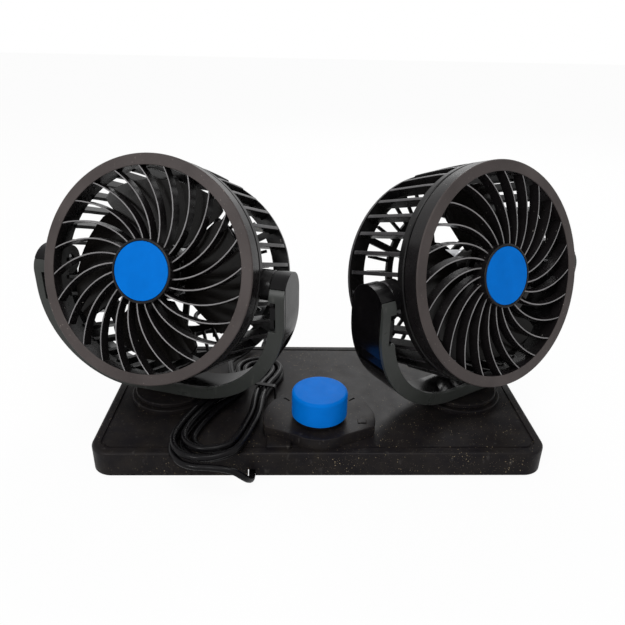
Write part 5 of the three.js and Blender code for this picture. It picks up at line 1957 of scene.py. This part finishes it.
@dataclass(frozen=True)
class Cage:
    """The rear cage: flange, ribs, two back rings, bars, spokes, motor plate and bosses."""

    radius: float = 62
    front: float = 9.7
    flange_end: float = 5.1
    spigot: float = 59.5
    spigot_front: float = 13.3
    end: float = -35.4
    back_top: float = 60
    back_side: float = 65.6
    ribs: int = 36
    rib_thick: float = 2.2
    rib_depth: float = 5.2
    bevel: float = 2.6
    inner_ring: tuple[float, float] = (34, 38)
    plate_thick: float = 2.2
    ring: float = 9
    spokes: int = 6
    spoke_width: float = 4
    motor_plate: float = 18

    def reach(self, angle: float, place: float) -> float:
        """How far the ribs stand out.

        Args:
            angle: round the axis, in radians.
            place: along the axis.

        Returns:
            The radius.
        """
        share = (self.flange_end - place) / (self.flange_end - self.end)
        side = math.cos(angle) ** 2
        back = self.back_top + (self.back_side - self.back_top) * side
        sideways = self.radius + (back - self.radius) * share
        domed = self.radius + (back - self.radius) * share**2
        return side * sideways + (1 - side) * domed

    def rib(self, angle: float) -> Object:
        """One rib: its section drawn out to the back, where it slopes in.

        Args:
            angle: where it stands round the axis, in radians.

        Returns:
            The rib, along +X.
        """
        root, bevel_start = self.flange_end + 1, self.end + self.plate_thick + self.bevel
        stations = [root + (bevel_start - root) * i / 6 for i in range(7)]
        stations += [bevel_start - 1.2, bevel_start - 2.6, self.end + self.plate_thick / 2]
        slopes = [0.3] + [0.0] * 6 + [0.7, 1.8, self.bevel]
        outer = [self.reach(angle, z) - inwards for z, inwards in zip(stations, slopes)]
        place = (outer[0] - self.rib_depth / 2, 0, root)
        rib = section("rib", (self.rib_depth, self.rib_thick), place)
        begin_edit(rib, "VERT")
        pick_all()
        bevel(0.4, 2, "VERTICES")
        pick_all()
        for i in range(1, len(stations)):
            way = ((outer[i] - outer[i - 1]) * MM, 0, (stations[i] - stations[i - 1]) * MM)
            extrude(way)
        end_edit()
        face_outwards(rib)
        return settle(rib, Matrix.Rotation(angle, 4, "Z"))

    def all_ribs(self) -> Object:
        """The ribs: those of a quarter are made, and the others are copies of them.

        Returns:
            The ribs as one object.
        """
        made: dict[int, Object] = {}
        every = []
        quarter = self.ribs // 4
        for i in range(self.ribs):
            like = min(i % (2 * quarter), 2 * quarter - i % (2 * quarter))
            if like == i:
                made[i] = self.rib(TURN * i / self.ribs)
                every.append(made[i])
            else:
                turn = Matrix.Rotation(TURN * (i - like) / self.ribs, 4, "Z")
                every.append(copied(made[like], turn))
        return joined("ribs", every)

    def flange(self) -> Object:
        """The ring that closes the cage in front and holds the grille.

        Returns:
            The ring.
        """
        inner = self.spigot - 2.2
        profile = [
            (inner, self.spigot_front), (self.spigot, self.spigot_front), (self.spigot, self.front),
            (self.radius - 0.5, self.front), (self.radius, self.front - 0.5),
            (self.radius, self.flange_end + 0.5), (self.radius - 0.5, self.flange_end),
            (inner, self.flange_end),
        ]
        return turned("flange", profile, 160, closed=True)

    def back_ring(self) -> Object:
        """The oval ring at the back.

        Returns:
            The ring.
        """
        across, upright = self.back_side - 0.6, self.back_top - 0.6
        low, high = self.end, self.end + self.plate_thick
        profile = [
            (upright - self.ring, low), (upright - 0.4, low), (upright, low + 0.4),
            (upright, high), (upright - self.ring, high),
        ]
        ring = turned("back_ring", profile, 128, closed=True)
        ring.scale = (across / upright, 1, 1)
        return settle(ring)

    def spider(self) -> Object:
        """The motor's plate, the spokes that carry it, and the inner ring with its bars.

        Returns:
            All of them as one object.
        """
        low, high = self.end, self.end + self.plate_thick
        outer = self.back_top - 0.6 - self.ring / 2
        half = self.spoke_width / 2
        arm = block("arm", (9, -half, low), (outer, half, high - 0.1))
        round_edges(arm, 0.35, 2, 60)
        settle(arm, Matrix.Rotation(TURN / self.spokes / 2, 4, "Z"))
        arms = repeated("arms", arm, self.spokes)
        radius = self.motor_plate
        plate = turned("plate", [
            (0, low), (radius - 0.5, low), (radius, low + 0.5), (radius, high), (0, high),
        ], 80)
        drill_motor_screws(plate, low - 1, high + 1, 24)
        near, far = self.inner_ring
        ring = turned("ring", [(near, low), (far, low), (far, high - 0.2), (near, high - 0.2)],
                      96, closed=True)
        bar = block("bar", (far - 1, -0.9, low + 0.2), (self.back_top - 8, 0.9, high - 0.2))
        bars = repeated("bars", round_edges(bar, 0.3, 2, 60), self.ribs)
        return joined("spider", [plate, arms, ring, bars])

    def boss(self, side: int) -> Object:
        """The round boss that a pivot pin goes into.

        Args:
            side: -1 for the left, 1 for the right.

        Returns:
            The boss.
        """
        inner, outer, radius, bore = 59.9, 67.6, 8.5, 3.3
        profile = [
            (bore, inner), (radius, inner), (radius, outer - 0.5), (radius - 0.5, outer),
            (bore, outer),
        ]
        turn = Matrix.Rotation(side * TURN / 4, 4, "Y")
        return settle(turned("boss", profile, 56, closed=True), turn)

    def build(self) -> Object:
        """Makes the cage.

        Returns:
            The cage.
        """
        parts = [self.flange(), self.all_ribs(), self.back_ring(), self.spider()]
        cage = shade(joined("cage", [*parts, self.boss(-1), self.boss(1)]), 35)
        edge = (self.radius - 0.7) * MM
        # The outermost outward faces take the painted highlight.
        return two_toned(cage, CAGE_BLACK, RIB_EDGE_HIGHLIGHT, lambda middle, normal: (
            middle.z < self.flange_end * MM and middle.xy.length > edge
            and middle.xy.normalized().dot(normal.xy) > 0.6
        ))


@dataclass(frozen=True)
class Impeller:
    """The hub and four pitched blades, in millimetres."""

    front: float = 8.7
    middle: float = 3.2
    hub: float = 16.4
    depth: float = 11
    wall: float = 1.8
    blades: int = 4
    pitch: float = 16
    thick: float = 1.6
    bore: float = 1.5

    def blade(self) -> Object:
        """One blade, widened outwards and rounded at the tip.

        Returns:
            The blade.
        """
        stations = [
            (self.hub - 1, 26), (22, 39), (29, 52), (34, 61.5), (37, 65), (40, 62), (43, 56),
            (46, 45), (48.5, 32), (50.2, 16), (50.8, 7),
        ]
        start, chord = stations[0]
        blade = section("blade", (self.thick, chord), (start, 0, 0), TURN / 4)
        begin_edit(blade, "FACE")
        pick_all()
        for (x0, c0), (x1, c1) in zip(stations, stations[1:]):
            extrude(((x1 - x0) * MM, 0, 0))
            bpy.ops.transform.resize(value=(1, c1 / c0, 1), center_override=(x1 * MM, 0, 0))
        end_edit()
        face_outwards(blade)
        round_edges(blade, 0.45, 2, 50)
        place = Matrix.Translation((0, 0, self.middle * MM))
        return settle(blade, place @ turned_by(self.pitch, "X"))

    def build(self) -> Object:
        """Makes the impeller.

        Returns:
            The impeller.
        """
        back, wall = self.front - self.depth, self.front - 4
        inside = self.hub - self.wall
        hub = turned("hub", [
            (0, wall), (inside, wall), (inside, back), (self.hub, back),
            *arc((self.hub - 1.5, self.front - 1.5), 1.5, 0, 90, 5), (0, self.front),
        ], 96)
        combine(hub, rod("bore", self.bore, back - 5, 6.7, 24), Cut.REMOVE)
        sleeve = turned("sleeve", [
            (self.bore, back + 1), (4, back + 1), (4, wall + 0.5), (self.bore, wall + 0.5),
        ], 32, closed=True)
        blades = repeated("blades", self.blade(), self.blades)
        return shade(joined("impeller", [hub, sleeve, blades]), 35)


@dataclass(frozen=True)
class Motor:
    """The motor's can, in millimetres."""

    radius: float = 13.8
    back: float = -32.9
    front: float = -6.9

    def build(self) -> Object:
        """Turns the can and drills its two screw holes.

        Returns:
            The can.
        """
        r, back, front = self.radius, self.back, self.front
        can = turned("can", [
            (0, back), (r - 0.8, back), (r, back + 0.8), (r, back + 4), (r - 0.25, back + 4.2),
            (r - 0.25, back + 5), (r, back + 5.2), (r, front - 2),
            *arc((r - 1.6, front - 1.6), 1.6, 0, 90, 5), (0, front),
        ], 72)
        drill_motor_screws(can, back - 1, back + 3.3, 20)
        return shade(can, 35)


class Heads:
    """Everything that both fans have, made once and copied to each side."""

    def __init__(self, places: Sequence[HeadPlace]) -> None:
        """Remembers where the fans stand.

        Args:
            places: one for each fan.
        """
        self.places = places

    def set_out(
        self, piece: Object, name: str, finish: Finish, node: str, frame_of: Callable
    ) -> None:
        """Puts one copy of a piece on each side.

        Args:
            piece: the piece, in its own frame.
            name: the copies' name, after the side.
            finish: their finish.
            node: the CAD node that they take the place of, after the side.
            frame_of: gives the frame that they are placed in.
        """
        for place in self.places:
            copy = copied(piece, frame_of(place))
            copy.name = f"{place.side}_{name}"
            copy.data.name = copy.name
            mount(copy, finish, f"{place.side}_{node}")
        bpy.data.objects.remove(piece)

    def build(self) -> None:
        """Makes swivels, yokes and heads."""
        self.set_out(Swivel().build(), "turntable", BASE_BLACK, "swivel_disc", HeadPlace.swivel)
        yoke = Yoke()
        self.set_out(yoke.body(), "arm_body", YOKE_BLACK, "yoke_body", HeadPlace.yoke)
        self.set_out(yoke.cover(), "arm_band", BAND_GREY, "yoke_cover", HeadPlace.yoke)
        LOG.info("yokes built")
        grille = Grille()
        self.set_out(grille.bezel(), "bezel", BEZEL_GREY, "front_grille", HeadPlace.head)
        self.set_out(grille.centre(), "hub", VANE_BLACK, "front_grille", HeadPlace.head)
        self.set_out(grille.spokes(), "vanes", VANE_BLACK, "front_grille", HeadPlace.head)
        self.set_out(grille.disc(), "badge", BLUE, "hub_badge", HeadPlace.head)
        self.set_out(Cage().build(), "cage", CAGE_BLACK, "rear_cage", HeadPlace.head)
        self.set_out(Motor().build(), "motor", MOTOR_STEEL, "motor_can", HeadPlace.head)
        self.set_out(Impeller().build(), "fan", IMPELLER_BLACK, "impeller", HeadPlace.head)
        LOG.info("heads built")


# ------------------------------------------------------------------ hidden pieces and main
HEAD_PLACES = (
    HeadPlace("left", -HEAD_X, -17.5, 20),
    HeadPlace("right", HEAD_X, 31, 16.2),
)
SIDES = tuple(place.side for place in HEAD_PLACES)
CORNERS = ("back_left", "back_right", "front_left", "front_right")


def finish_hidden() -> None:
    """Finishes the CAD pieces that stay as they are."""
    arms = ("l", "r")
    kept = {
        HIDDEN_BLACK: ["base_bottom_cover", "rotary_switch_body"],
        FOAM: ["centre_adhesive_pad", *(f"{corner}_pad" for corner in CORNERS)],
        SCREW_STEEL: [
            "switch_shaft", "plug_front_contact", "plug_back_contact",
            *(f"{corner}_base_screw" for corner in CORNERS),
            *(f"{side}_{piece}" for side in SIDES for piece in ("swivel_washer", "swivel_screw")),
            *(f"{side}_pivot_pin_{arm}" for side in SIDES for arm in arms),
            *(f"{side}_motor_screw_{arm}" for side in SIDES for arm in arms),
            *(f"{side}_motor_shaft" for side in SIDES),
        ],
        CERAMIC: ["speed_resistor"],
    }
    for finish, names in kept.items():
        for name in names:
            node = frame["nodes"][name]
            node.data.materials.clear()
            node.data.materials.append(finish.material())


def build_lead() -> None:
    """Makes the lead with all that is on it."""
    lead, fittings = Lead(), LeadFittings()
    fittings.strain_relief()
    plug = fittings.plug()
    ties = [fittings.hank_tie(lead.hank), fittings.coil_tie(lead.coil)]
    contacts = ["plug_front_contact", "plug_back_contact"]
    lead.build([*plug, *contacts, *ties])


def main() -> None:
    """Builds the scene in order: camera, lead, base, fans, hidden pieces, studio."""
    logging.basicConfig(level=logging.INFO)
    PhotoCamera().build()
    build_lead()
    LOG.info("lead built")
    Base().build()
    Knob().build()
    LOG.info("base built")
    Heads(HEAD_PLACES).build()
    finish_hidden()
    Studio().build()


if __name__ == "__main__":
    main()
